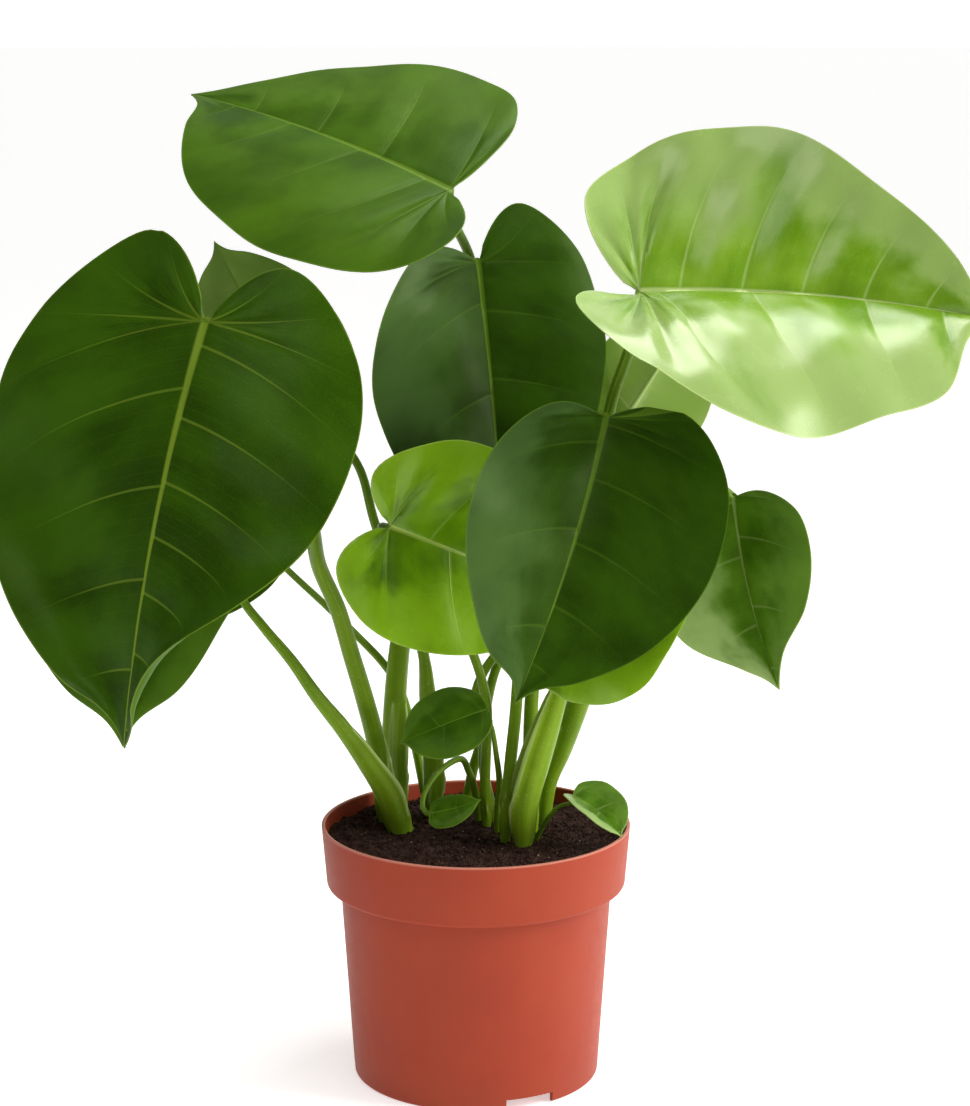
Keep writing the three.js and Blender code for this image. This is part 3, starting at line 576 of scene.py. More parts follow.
def stem_skin():
    """Smooth green petiole: satin, juicy skin with fine pale streaks, small pale specks and thin sheaths."""
    constants = {
        "Roughness": 0.34,
        "IOR": 1.42,
        "Specular IOR Level": 0.35,
        "Specular Tint": shade("cce08c"),
        "Subsurface Weight": 0.15,
        "Subsurface Radius": (0.6, 1.0, 0.2),
        "Subsurface Scale": 2 * MM,
    }
    material, tree = new_material("petiole skin", constants)
    node = partial(add_node, tree)
    around = node("ShaderNodeAttribute", out="Vector", attribute_name="around")
    along = node("ShaderNodeAttribute", out="Fac", attribute_name="along")
    membrane = node("ShaderNodeAttribute", out="Fac", attribute_name="membrane")
    place = node("ShaderNodeTexCoord", out="Object")
    streaks = node("ShaderNodeTexNoise", {"Vector": around, "Scale": 2.6, "Detail": 3.0})
    clouds = node("ShaderNodeTexNoise", {"Vector": place, "Scale": 1 / (22 * MM), "Detail": 2.0})
    specks = node("ShaderNodeTexVoronoi", {"Vector": place, "Scale": 1 / (2.4 * MM)})
    body = layered(tree, (*colors().stem, 1.0), (
        (shade("4a680a"), along, (0.05, 0.8, 0.0, 1.0)),
        (shade("b4c860"), streaks, (0.4, 0.8, 0.0, 0.25)),
        (shade("446a0c"), clouds, (0.5, 0.8, 0.0, 0.45)),
        (shade("b5cf7c"), specks, (0.05, 0.2, 0.35, 0.0)),
        (shade("c6d68a"), membrane, (0.35, 0.9, 0.0, 0.8)),
    ))
    close_material(tree, {"Base Color": body}, streaks, 0.12, 0.3)
    return material


def pot_plastic():
    """Moulded polypropylene, terracotta-coloured: a satin skin, faintly mottled, with dust low down."""
    constants = {
        "IOR": 1.49,
        "Specular IOR Level": 0.2,
        "Subsurface Weight": 0.05,
        "Subsurface Radius": (1.0, 0.3, 0.15),
        "Subsurface Scale": 1 * MM,
    }
    material, tree = new_material("moulded terracotta-coloured plastic", constants)
    node = partial(add_node, tree)
    place = node("ShaderNodeTexCoord", out="Object")
    flow = node("ShaderNodeTexNoise", {"Vector": place, "Scale": 1 / (45 * MM), "Detail": 3.0})
    grain = node("ShaderNodeTexNoise", {"Vector": place, "Scale": 1 / (0.9 * MM), "Detail": 2.0})
    inputs = {"Vector": place, "Scale": 1 / (9 * MM), "Detail": 6.0, "Roughness": 0.7}
    scuffs = node("ShaderNodeTexNoise", inputs)
    height = node("ShaderNodeSeparateXYZ", (place,), "Z")
    low = node("ShaderNodeMapRange", (height, 0.0, 22 * MM, 0.22, 0.0))
    dust = node("ShaderNodeMath", (low, scuffs), operation="MULTIPLY")
    # Painted highlight: the rim's top edge turns lighter over its last millimetre of height
    rim = ((POT_HEIGHT - 1.1) * MM, (POT_HEIGHT - 0.4) * MM, 0.0, 0.5)
    body = layered(tree, (*colors().pot, 1.0), (
        (shade("943420"), flow, (0.35, 0.65, 0.0, 0.5)),
        (shade("8a5240"), dust, AS_IT_IS),
        (shade("dd9c88"), height, rim),
    ))
    rough = node("ShaderNodeMapRange", (scuffs, 0.3, 0.7, 0.46, 0.58))
    close_material(tree, {"Base Color": body, "Roughness": rough}, grain, 0.06, 0.2)
    return material


def soil_matter(name, color, pale):
    """Damp peat, bark or grit: dull and crumbly, with a few paler bits."""
    material, tree = new_material(name, {"Roughness": 0.92, "Specular IOR Level": 0.12})
    place = add_node(tree, "ShaderNodeTexCoord", out="Object")
    lumps = add_node(tree, "ShaderNodeTexNoise", {"Vector": place, "Scale": 1 / (4 * MM), "Detail": 6.0})
    bits = add_node(tree, "ShaderNodeTexVoronoi", {"Vector": place, "Scale": 1 / (1.1 * MM)})
    body = layered(tree, color, ((pale, lumps, (0.42, 0.75, 0.0, 1.0)),))
    relief = add_node(tree, "ShaderNodeMath", (lumps, bits), operation="ADD")
    close_material(tree, {"Base Color": body}, relief, 0.8, 0.8)
    return material


def floor_paint():
    """Matt studio paint: pale and even, with the faintest roller texture, lit a little from below."""
    constants = {
        "Base Color": (*colors().floor, 1.0),
        "Roughness": 0.7,
        "Emission Color": (1.0, 1.0, 1.0, 1.0),
        "Emission Strength": FLOOR_GLOW,
    }
    material, tree = new_material("matt studio paint", constants)
    place = add_node(tree, "ShaderNodeTexCoord", out="Object")
    roller = add_node(tree, "ShaderNodeTexNoise", {"Vector": place, "Scale": 1 / (3 * MM), "Detail": 2.0})
    close_material(tree, {}, roller, 0.05, 0.1)
    return material


def unit(vectors):
    """Vectors at length 1."""
    return vectors / np.maximum(np.linalg.norm(vectors, axis=-1, keepdims=True), 1e-12)


def smoothstep(values, low, high):
    """Shares that go smoothly from 0 at the low value to 1 at the high one."""
    share = np.clip((values - low) / (high - low), 0, 1)
    return share * share * (3 - 2 * share)


def bell(values, width):
    """1 at 0, and fading to either side over a width."""
    return np.exp(-((values / width) ** 2))


def curve_through(points, steps):
    """A smooth flat curve through points, with the given number of steps in each stretch."""
    points = np.array(points, float)
    gaps = np.diff(points, axis=0)
    chords = np.linalg.norm(gaps, axis=1)[:, None]
    slopes = gaps / chords
    tangents = np.zeros_like(points)
    tangents[1:-1] = (slopes[:-1] * chords[1:] + slopes[1:] * chords[:-1]) / (chords[:-1] + chords[1:])
    tangents[0] = 2 * slopes[0] - tangents[1]
    tangents[-1] = 2 * slopes[-1] - tangents[-2]
    curve = [points[:1]]
    for i, count in enumerate(steps):
        t = (np.arange(1, count + 1) / count)[:, None]
        start = 2 * t**3 - 3 * t**2 + 1
        leave = (t**3 - 2 * t**2 + t) * chords[i]
        arrive = (t**3 - t**2) * chords[i]
        ends = start * points[i] + (1 - start) * points[i + 1]
        curve.append(ends + leave * tangents[i] + arrive * tangents[i + 1])
    return np.vstack(curve)


def half_outline(half, length, steps):
    """Half of the heart-shaped outline: distance from the midrib and along it, from sinus to tip."""
    back = np.array([half.back * half.width, -half.lobe])
    wide = np.array([half.width, half.widest * length])

    def beyond(share):
        return (half.widest + (1 - half.widest) * share) * length

    # Sinus, back of the lobe, its side, widest place, cheek, shoulder, drip tip's start and its end
    points = [
        (SINUS * half.width, -0.3 * half.lobe),
        back,
        back + np.array([0.8, 0.38]) * (wide - back),
        wide,
        (half.cheek * half.width, beyond(0.47)),
        (half.shoulder * half.width, beyond(0.78)),
        (0.085 * half.width, 0.94 * length),
        (0, length),
    ]
    return curve_through(points, steps)


def blade_directions(bend, share):
    """Directions along, out of and across a blade that starts along +X and faces +Z."""
    droop = np.radians(-bend.arch * share)
    side = np.radians(bend.sweep * share)
    turn = np.radians(bend.twist * share)[:, None]
    along = np.stack([np.cos(droop) * np.cos(side), -np.cos(droop) * np.sin(side), np.sin(droop)], -1)
    plain = np.stack([-np.sin(droop) * np.cos(side), np.sin(droop) * np.sin(side), np.cos(droop)], -1)
    out = plain * np.cos(turn) + np.cross(along, plain) * np.sin(turn)
    return along, out, np.cross(along, out)


def basis_about(direction, roll):
    """Three square directions as columns: the first along a direction, the second up and then rolled."""
    first = unit(direction)
    upright = unit(UP - UP.dot(first) * first)
    second = upright * math.cos(roll) + np.cross(first, upright) * math.sin(roll)
    return np.stack([first, second, np.cross(first, second)], 1)


class Blade:
    """A leaf's middle surface, in mm, as the solid model has it."""

    def __init__(self, leaf, phase):
        self.leaf = leaf
        self.phase = phase
        self.halves = {1: leaf.right, -1: leaf.left}
        share = np.linspace(0, 1, RIB_STATIONS + 1)
        along, out, across = blade_directions(leaf.bend, share)
        steps = (along[1:] + along[:-1]) / 2 / RIB_STATIONS
        place = np.vstack([np.zeros((1, 3)), np.cumsum(steps, 0)])
        base = np.array(leaf.base, float)
        reach = np.array(leaf.tip, float) - base
        self.length = np.linalg.norm(reach) / np.linalg.norm(place[-1])
        self.size = min(self.length / FULL_LENGTH, 1)
        turn = basis_about(reach, math.radians(leaf.turn)) @ basis_about(place[-1], 0).T
        self.rib = {
            "place": self.length * place @ turn.T + base,
            "along": along @ turn.T,
            "out": out @ turn.T,
            "across": across @ turn.T,
        }
        self.edges = {}
        for side in SIDES:
            outline = half_outline(self.halves[side], self.length, OUTLINE_STEPS)
            self.edges[side] = outline[np.argmax(outline[:, 0]) :]

    def on_rib(self, key, share):
        """A place or direction at a share of the way along the midrib."""
        spot = np.clip(share, 0, 1) * RIB_STATIONS
        low = np.minimum(spot.astype(int), RIB_STATIONS - 1)
        part = (spot - low)[..., None]
        return self.rib[key][low] * (1 - part) + self.rib[key][low + 1] * part

    def surface(self, side, u, v):
        """Points at a distance from the midrib, u, and along it, v, on the side +1 or -1."""
        leaf, half = self.leaf, self.halves[side]
        share = np.clip(v / self.length, 0, 1)
        point = self.on_rib("place", share)
        # Behind the base the lobes rise on an arc
        lift = math.radians(leaf.bend.rise) / max(half.lobe, 1)
        behind = np.clip(-v, 0, max(leaf.left.lobe, leaf.right.lobe, 1))[..., None]
        if abs(lift) < 1e-9:
            point = point - behind * self.rib["along"][0]
        else:
            point = point - np.sin(lift * behind) / lift * self.rib["along"][0]
            point = point + (1 - np.cos(lift * behind)) / lift * self.rib["out"][0]
        edge = self.edges[side]
        width = np.maximum(np.interp(v, edge[:, 1], edge[:, 0], right=0.001), 0.001)
        curl = math.radians(half.curl) * smoothstep(share, leaf.bend.curl_from, 0.9)
        curl = curl * np.minimum(1, width / CURLED_WIDTH)
        across_sum = 0
        out_sum = 0
        for k in range(FOLD_SLICES):
            reach = u * (k + 0.5) / FOLD_SLICES
            angle = math.radians(half.fold) + math.radians(half.cup) * reach / half.width
            angle = angle + curl * np.minimum(reach / width, 1.2) ** 2
            across_sum = across_sum + np.cos(angle) * u / FOLD_SLICES
            out_sum = out_sum + np.sin(angle) * u / FOLD_SLICES
        ripple = np.sin(2 * math.pi * WAVES_PER_LEAF * share + self.phase + side)
        out_sum = out_sum + EDGE_WAVE * ripple * self.size * np.minimum(u / half.width, 1) ** 2
        across = side * across_sum[..., None] * self.on_rib("across", share)
        return point + across + out_sum[..., None] * self.on_rib("out", share)

    def normal(self, side, u, v):
        """The direction out of the upper face."""
        step = 0.5
        start = np.maximum(u, step)
        across = self.surface(side, start + step, v) - self.surface(side, start - step, v)
        along = self.surface(side, start, v + step) - self.surface(side, start, v - step)
        return unit(side * np.cross(across, along))


def fine_steps(length):
    """Lines in each stretch of the outline, and shares of the way from the midrib to the edge."""
    near = [0, 0.008, 0.018, 0.03, 0.05]
    if length < SMALL_LEAF:
        return [3, 4, 4, 7, 6, 3, 3], np.append(near, np.linspace(0.05, 1, 9)[1:])
    if length < MEDIUM_LEAF:
        return [6, 9, 9, 16, 13, 6, 6], np.append(near, np.linspace(0.05, 1, 20)[1:])
    return [10, 16, 16, 32, 26, 12, 10], np.append(near, np.linspace(0.05, 1, 28)[1:])


def blade_half(blade, side, margin, rib_at, across, skin):
    """Points of a half's two faces, by line and share outwards, and the values that its skin reads."""
    settings = sizes()
    size = blade.size
    s = across[None, :]
    u = s * margin[:, :1]
    start = rib_at[:, None]
    v = (1 - s) ** 2 * start + 2 * (1 - s) * s * (start + LINE_BEND * (margin[:, 1:] - start))
    v = v + s**2 * margin[:, 1:]
    points = blade.surface(side, u, v)
    normals = blade.normal(side, u, v)
    both = unit(blade.normal(1, u[:, 0] * 0, v[:, 0]) + blade.normal(-1, u[:, 0] * 0, v[:, 0]))
    normals[:, 0] = both
    normals[-1] = both[-1]

    # The phase grows by 1 from side vein to side vein, and spread is the distance in mm for that
    walk = np.append(0, np.cumsum(np.linalg.norm(np.diff(points[:, -1], axis=0), axis=1)))
    count = max(3, round(walk[-1] * MM / settings.vein_spacing / size**0.5))
    phase = (walk / walk[-1] * count)[:, None] ** (1 if side > 0 else 1.06)
    phase = phase + 0 * s + (0 if side > 0 else LEFT_PHASE)
    lateral = unit(np.gradient(points, axis=1))
    step = np.gradient(points, axis=0)
    aside = step - (step * lateral).sum(-1, keepdims=True) * lateral
    spread = np.linalg.norm(aside, axis=-1) / np.maximum(np.gradient(phase, axis=0), 1e-4)
    edge_way = unit(np.gradient(points[:, -1], axis=0))[:, None]
    slant = np.linalg.norm(np.cross(lateral[:, -1:], edge_way), axis=-1)
    walked = np.cumsum(np.linalg.norm(np.diff(points, axis=1), axis=-1), axis=1)
    walked = np.hstack([np.zeros((len(u), 1)), walked])

    fade = 1 - np.clip(v / blade.length, 0, 1)
    rib_half = blade.length / FULL_LENGTH * (RIB_HALF_WIDTH[0] + RIB_HALF_WIDTH[1] * fade**1.4)
    apart = np.abs(phase - np.round(phase)) * spread
    window = np.sin(math.pi * np.clip(s * 0.94 + 0.03, 0, 1)) * fade**0.3
    puff = (0.5 - 0.5 * np.cos(2 * math.pi * phase)) ** 0.8
    swelling = settings.quilting / MM * skin["quilt"] * size * puff * window * np.clip(spread / 30, 0, 1)
    spots = points.reshape(-1, 3) / RUFFLE_WAVE
    ruffle = np.array([noise.noise(Vector(spot)) for spot in spots]).reshape(u.shape)
    swelling = swelling + skin["ruffle"] * size * ruffle * smoothstep(s, 0, 0.25) * fade**0.3
    groove = VEIN_GROOVE[0] * size * bell(apart, VEIN_GROOVE[1]) * (1 - smoothstep(s, 0.4, 0.9))
    rib_groove = RIB_GROOVE * size * fade * bell(u, 0.8 * rib_half)
    relief = swelling - groove - rib_groove
    ridge = settings.rib_height / MM * size * np.clip(v / 8 + 0.35, 0, 1) * fade
    ridge = ridge * np.sqrt(np.clip(1 - (u / (1.5 * rib_half)) ** 2, 0, 1))
    side_ridge = VEIN_RIDGE[0] * size * bell(apart, VEIN_RIDGE[1]) * (1 - smoothstep(s, 0.3, 0.8))
    thickness = settings.blade_thickness / MM * (1 - 0.4 * smoothstep(s, 0.9, 1)) + 0 * u
    return {
        "top": points + normals * (relief + thickness / 2)[..., None],
        "bottom": points + normals * (relief - thickness / 2 - ridge - side_ridge)[..., None],
        "lateral": s + 0 * u,
        "phase": phase,
        "spread": spread,
        "rib": u / rib_half,
        "margin": (walked[:, -1:] - walked) * slant,
    }


def blade_mesh(leaf, blade, skin):
    """A closed leaf blade with sunken veins, swellings between them and a midrib that stands out below."""
    steps, across = fine_steps(blade.length)
    margins = {side: half_outline(blade.halves[side], blade.length, steps) for side in SIDES}
    rib_at = sum(np.maximum(m[:, 1] - LINE_SLANT * m[:, 0], 0) / 2 for m in margins.values())
    rib_at[rib_at < 0.012 * blade.length] = 0
    rib_at[-1] = blade.length
    rib_at = np.maximum.accumulate(rib_at)
    halves = [blade_half(blade, side, margins[side], rib_at, across, skin) for side in SIDES]
    shape = (len(SIDES), len(rib_at), len(across))
    grid = {key: np.stack([half[key] for half in halves]).reshape(math.prod(shape), -1) for key in halves[0]}
    spot = np.arange(math.prod(shape)).reshape(shape)

    # Spots on the midrib and at the tip are shared
    vertex_of = spot.copy()
    vertex_of[:, :, 0] = spot[0, np.searchsorted(rib_at, rib_at - 1e-6), 0]
    vertex_of[:, -1] = spot[0, -1, 0]
    used, vertex_of = np.unique(vertex_of, return_inverse=True)
    vertex_of = vertex_of.ravel().tolist()
    count = len(used)
    vertices = np.vstack([grid["top"][used], grid["bottom"][used]]) * MM

    def without_doubles(spots):
        """A face's corners, without those that share their vertex with the one before."""
        kept = []
        for here in spots:
            if not kept or vertex_of[here] != vertex_of[kept[-1]]:
                kept.append(here)
        if vertex_of[kept[0]] == vertex_of[kept[-1]]:
            kept.pop()
        return kept

    quads = np.stack([spot[:, :-1, :-1], spot[:, :-1, 1:], spot[:, 1:, 1:], spot[:, 1:, :-1]], -1)
    upper = []
    for half, side in zip(quads, SIDES):
        kept = (without_doubles(quad) for quad in half.reshape(-1, 4).tolist())
        upper += [face[::side] for face in kept if len(face) > 2]
    rim = [*spot[0, 0, :-1], *spot[0, :, -1], *spot[1, -2::-1, -1], *spot[1, 0, -2:0:-1]]
    faces, corners, under = [], [], []
    for way, first, below in ((1, 0, 0.0), (-1, count, 1.0)):
        for face in upper:
            faces.append([vertex_of[here] + first for here in face[::way]])
            corners += face[::way]
            under += [below] * len(face)
    for here, after in zip(rim, rim[1:] + rim[:1]):
        low, high = vertex_of[here], vertex_of[after]
        if low != high:
            faces.append([high, low, low + count, high + count])
            corners += [after, here, here, after]
            under += [0.0] * 4
    mesh = bpy.data.meshes.new("blade_" + leaf.name)
    mesh.from_pydata(vertices.tolist(), [], faces)
    values = {key: grid[key][corners].ravel() for key in ("lateral", "phase", "spread", "rib", "margin")}
    add_values(mesh, "CORNER", {**values, "under": np.array(under)})
    mesh.update()
    mesh.shade_smooth()
    mesh.set_sharp_from_angle(angle=math.radians(50))
    return mesh


def add_values(mesh, domain, values):
    """Attributes of a mesh, numbers or vectors, for its skin and its tree."""
    for key, numbers in values.items():
        if numbers.ndim > 1:
            attribute = mesh.attributes.new(key, "FLOAT_VECTOR", domain)
            attribute.data.foreach_set("vector", numbers.ravel().astype(np.float32))
        else:
            attribute = mesh.attributes.new(key, "FLOAT", domain)
            attribute.data.foreach_set("value", numbers.astype(np.float32))


def add_piece(name, mesh, *materials):
    """An object for a finished mesh, with its materials."""
    piece = bpy.data.objects.new(name, mesh)
    bpy.context.scene.collection.objects.link(piece)
    for material in materials:
        mesh.materials.append(material)
    return piece


def geometry_tree(name, inputs):
    """A geometry tree with named inputs after its geometry, and those inputs."""
    tree = bpy.data.node_groups.new(name, "GeometryNodeTree")
    tree.interface.new_socket("Geometry", in_out="INPUT", socket_type="NodeSocketGeometry")
    for label, kind in inputs.items():
        tree.interface.new_socket(label, in_out="INPUT", socket_type="NodeSocket" + kind)
    tree.interface.new_socket("Geometry", in_out="OUTPUT", socket_type="NodeSocketGeometry")
    return tree, add_node(tree, "NodeGroupInput").node.outputs


def close_tree(tree, geometry, material):
    """Ends a tree: instances made real, the material set, and the result put out."""
    real = add_node(tree, "GeometryNodeRealizeInstances", (geometry,))
    done = add_node(tree, "GeometryNodeSetMaterial", {"Geometry": real, "Material": material})
    add_node(tree, "NodeGroupOutput", (done,))


def grow(name, mesh, tree, values):
    """A piece whose plain mesh is a tree's result on a source mesh."""
    piece = add_piece(name, mesh)
    modifier = piece.modifiers.new("Shape", "NODES")
    modifier.node_group = tree
    for socket in tree.interface.items_tree:
        if socket.in_out == "INPUT" and socket.name in values:
            modifier[socket.identifier] = values[socket.name]
    seen = piece.evaluated_get(bpy.context.evaluated_depsgraph_get())
    result = bpy.data.meshes.new_from_object(seen)
    if not result.polygons:
        raise RuntimeError(f"{name} came out empty")
    piece.modifiers.clear()
    piece.data = result
    return piece


def finish_piece(piece, slot, *nodes):
    """Rides a piece on the plant's one body and hides the solids that it takes the place of; the slot is not
    used.
    """
    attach(piece, "root")
    if nodes:
        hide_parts(*nodes)


def catmull_rom(points, count):
    """Evenly spaced points on the smooth line through points that the solid stems follow."""
    points = np.array(points, float)
    points = np.vstack([2 * points[0] - points[1], points, 2 * points[-1] - points[-2]])
    dense = []
    for i in range(1, len(points) - 2):
        four = points[i - 1 : i + 3]
        t0, t1, t2 = np.maximum(np.linalg.norm(np.diff(four, axis=0), axis=1) ** 0.5, 1e-4)
        start = (four[1] - four[0]) / t0 - (four[2] - four[0]) / (t0 + t1) + (four[2] - four[1]) / t1
        end = (four[2] - four[1]) / t1 - (four[3] - four[1]) / (t1 + t2) + (four[3] - four[2]) / t2
        start, end = start * t1, end * t1
        t = np.linspace(0, 1, 40, endpoint=i == len(points) - 3)[:, None]
        curve = four[1] + start * t + (3 * four[2] - 3 * four[1] - 2 * start - end) * t**2
        dense.append(curve + (2 * four[1] - 2 * four[2] + start + end) * t**3)
    dense = np.vstack(dense)
    walk = np.append(0, np.cumsum(np.linalg.norm(np.diff(dense, axis=0), axis=1)))
    even = np.linspace(0, walk[-1], count)
    return np.stack([np.interp(even, walk, dense[:, k]) for k in range(3)], -1)


def stem_line(leaf, blade):
    """The middle line of a stem, from its root in the soil into the blade's midrib, with its radii."""
    foot = np.array([*leaf.foot, SOIL_LEVEL], float)
    down = foot - np.array(leaf.path[0], float)
    down[2] = min(down[2], -4)
    root = foot + unit(down) * STEM_DEPTH
    out = blade.rib["out"][0]
    base = blade.rib["place"][0] - out * STEM_TOP_GAP
    points = [root, foot, *leaf.path, base - out * STEM_LAST_STRETCH * blade.size, base]
    count = SMALL_STEM_POINTS if blade.length < SMALL_LEAF else STEM_POINTS
    line = catmull_rom(points, count)
    height = line[:, 2]
    t = np.linspace(0, 1, count)
    wide, top, taper, swell, reach = (*leaf.radius, 0, 1)[:5]
    radius = top + (wide - top) * (1 - t) ** taper
    radius = radius + swell * np.sin(math.pi * np.minimum(t / reach, 1))
    # A low knee under the blade, and a foot that is drawn in where it meets the soil
    radius = radius * (1 + KNEE_SWELLING * bell(t - KNEE_AT, KNEE_WIDTH))
    radius = radius * (1 - FOOT_TUCK + FOOT_TUCK * smoothstep(height, SOIL_LEVEL - 1, SOIL_LEVEL + 9))
    sheath = radius * (1 - smoothstep(t, leaf.sheath * 0.75, leaf.sheath))
    sheath = sheath * smoothstep(height, SOIL_LEVEL + 2, SOIL_LEVEL + 22)
    line[-1] = line[-1] + out * STEM_END_LIFT
    return line, radius, sheath, t


def stem_tree():
    """Sweeps a round profile along a stem's line and raises the two edges of its sheath."""
    inputs = {"Sides": "Int", "Sheath Edge": "Float", "Material": "Material"}
    tree, given = geometry_tree("Stem Along Its Line", inputs)
    node = partial(add_node, tree)
    thick, sheath, inward = (
        node("GeometryNodeInputNamedAttribute", {"Name": name}, data_type=kind)
        for name, kind in (("thick", "FLOAT"), ("sheath", "FLOAT"), ("inward", "FLOAT_VECTOR"))
    )
    line = node("GeometryNodeMeshToCurve", {"Mesh": given["Geometry"]})
    ring = node("GeometryNodeCurvePrimitiveCircle", {"Resolution": given["Sides"], "Radius": 1.0})
    inputs = {"Curve": line, "Profile Curve": ring, "Scale": thick, "Fill Caps": True}
    tube = node("GeometryNodeCurveToMesh", inputs)
    normal = node("GeometryNodeInputNormal")
    facing = node("ShaderNodeVectorMath", (normal, inward), "Value", operation="DOT_PRODUCT")
    # The sheath's edges stand to either side of the face towards the plant's middle, which is dented
    angle = node("ShaderNodeMath", (facing,), operation="ARCCOSINE")
    away = node("ShaderNodeMath", (angle, SHEATH_ANGLE), operation="SUBTRACT")
    edge = away
    steps = ("DIVIDE", SHEATH_SPREAD), ("POWER", 2.0), ("MULTIPLY", -1.0), ("EXPONENT", 0.0)
    for operation, value in steps:
        edge = node("ShaderNodeMath", (edge, value), operation=operation)
    dent = node("ShaderNodeMath", (away, SHEATH_DENT), operation="MULTIPLY")
    dent = node("ShaderNodeMath", (dent, 0.0), operation="MINIMUM")
    height = node("ShaderNodeMath", (edge, dent), operation="ADD")
    for value in (sheath, given["Sheath Edge"]):
        height = node("ShaderNodeMath", (height, value), operation="MULTIPLY")
    thin = node("ShaderNodeMath", (sheath, MM), operation="GREATER_THAN")
    membrane = node("ShaderNodeMath", (edge, thin), operation="MULTIPLY")
    for name, kind, value in (("around", "FLOAT_VECTOR", normal), ("membrane", "FLOAT", membrane)):
        inputs = {"Geometry": tube, "Name": name, "Value": value}
        tube = node("GeometryNodeStoreNamedAttribute", inputs, data_type=kind, domain="POINT")
    push = node("ShaderNodeVectorMath", {0: normal, "Scale": height}, operation="SCALE")
    tube = node("GeometryNodeSetPosition", {"Geometry": tube, "Offset": push})
    tube = node("GeometryNodeSetShadeSmooth", {"Geometry": tube})
    close_tree(tree, tube, given["Material"])
    return tree


def stem_source(leaf, blade):
    """A stem's line as a mesh of edges that carries its radius, its sheath and the way to the middle."""
    line, radius, sheath, t = stem_line(leaf, blade)
    mesh = bpy.data.meshes.new("petiole_" + leaf.name)
    mesh.from_pydata((line * MM).tolist(), [(i, i + 1) for i in range(len(line) - 1)], [])
    way = unit(np.gradient(line, axis=0))
    inward = np.array([0.0, 0.0, SOIL_LEVEL + 250]) - line
    inward = unit(inward - (inward * way).sum(-1, keepdims=True) * way)
    add_values(mesh, "POINT", {"thick": radius * MM, "sheath": sheath * MM, "along": t, "inward": inward})
    return mesh


def rounded(profile, segments=5):
    """A profile of (radius, height, rounding) corners as points, with an arc at each rounded corner."""
    points = []
    for i, (x, z, radius) in enumerate(profile):
        here = np.array([x, z], float)
        if not radius:
            points.append(here)
            continue
        before = unit(np.array(profile[i - 1][:2], float) - here)
        after = unit(np.array(profile[i + 1][:2], float) - here)
        half = math.acos(np.clip(before.dot(after), -1, 1)) / 2
        centre = here + unit(before + after) * radius / math.sin(half)
        first = here + before * radius / math.tan(half) - centre
        last = here + after * radius / math.tan(half) - centre
        for step in range(segments + 1):
            part = step / segments
            points.append(centre + unit(first * (1 - part) + last * part) * radius)
    return points


def turned(name, points, sides):
    """A body of revolution about the vertical axis from profile points, in mm."""
    vertices, rings = [], []
    for x, z in points:
        count = 1 if x < 1e-6 else sides
        rings.append(list(range(len(vertices), len(vertices) + count)))
        for k in range(count):
            angle = 2 * math.pi * k / sides
            vertices.append((x * math.cos(angle) * MM, x * math.sin(angle) * MM, z * MM))
    faces = []
    for low, high in zip(rings, rings[1:]):
        for k in range(sides):
            after = (k + 1) % sides
            face = [low[k % len(low)], low[after % len(low)], high[after % len(high)], high[k % len(high)]]
            faces.append([v for i, v in enumerate(face) if v != face[i - 1]])
    mesh = bpy.data.meshes.new(name)
    mesh.from_pydata(vertices, [], faces)
    mesh.update()
    mesh.shade_smooth()
    return mesh


COLLAR_BOTTOM = POT_HEIGHT - POT_COLLAR_HEIGHT
FLOOR_TOP = FOOT_RAISE + POT_WALL


def inner_radius(z):
    """Inner radius of the pot at a height, in mm."""
    if z > COLLAR_BOTTOM:
        share = (z - COLLAR_BOTTOM) / POT_COLLAR_HEIGHT
        return POT_COLLAR_RADIUS + (POT_RIM_RADIUS - POT_COLLAR_RADIUS) * share - POT_WALL
    return POT_FOOT_RADIUS + (POT_WAIST_RADIUS - POT_FOOT_RADIUS) * z / COLLAR_BOTTOM - POT_WALL


def pot_mesh():
    """The nursery pot before its notches and drain holes, with rounded moulded edges."""
    collar_inside = COLLAR_BOTTOM + POT_WALL + 0.5
    profile = [
        (0, 0, 0),
        (PAD_RADIUS, 0, 0.6),
        (PAD_RADIUS + 1, FOOT_RAISE, 0.4),
        (POT_FOOT_RADIUS - FOOT_WALL - 0.5, FOOT_RAISE, 0.4),
        (POT_FOOT_RADIUS - FOOT_WALL, 0, 0.5),
        (POT_FOOT_RADIUS, 0, 2),
        (POT_WAIST_RADIUS, COLLAR_BOTTOM + 1, 0.8),
        (POT_COLLAR_RADIUS, COLLAR_BOTTOM, 2.6),
        (POT_RIM_RADIUS, POT_HEIGHT, 0.6),
        (inner_radius(POT_HEIGHT), POT_HEIGHT, 0.6),
        (inner_radius(collar_inside), collar_inside, 0.6),
        (inner_radius(COLLAR_BOTTOM), collar_inside, 0.8),
        (inner_radius(FLOOR_TOP), FLOOR_TOP, 1.5),
        (0, FLOOR_TOP, 0),
    ]
    return turned("nursery_pot", rounded(profile), sizes().pot_sides)


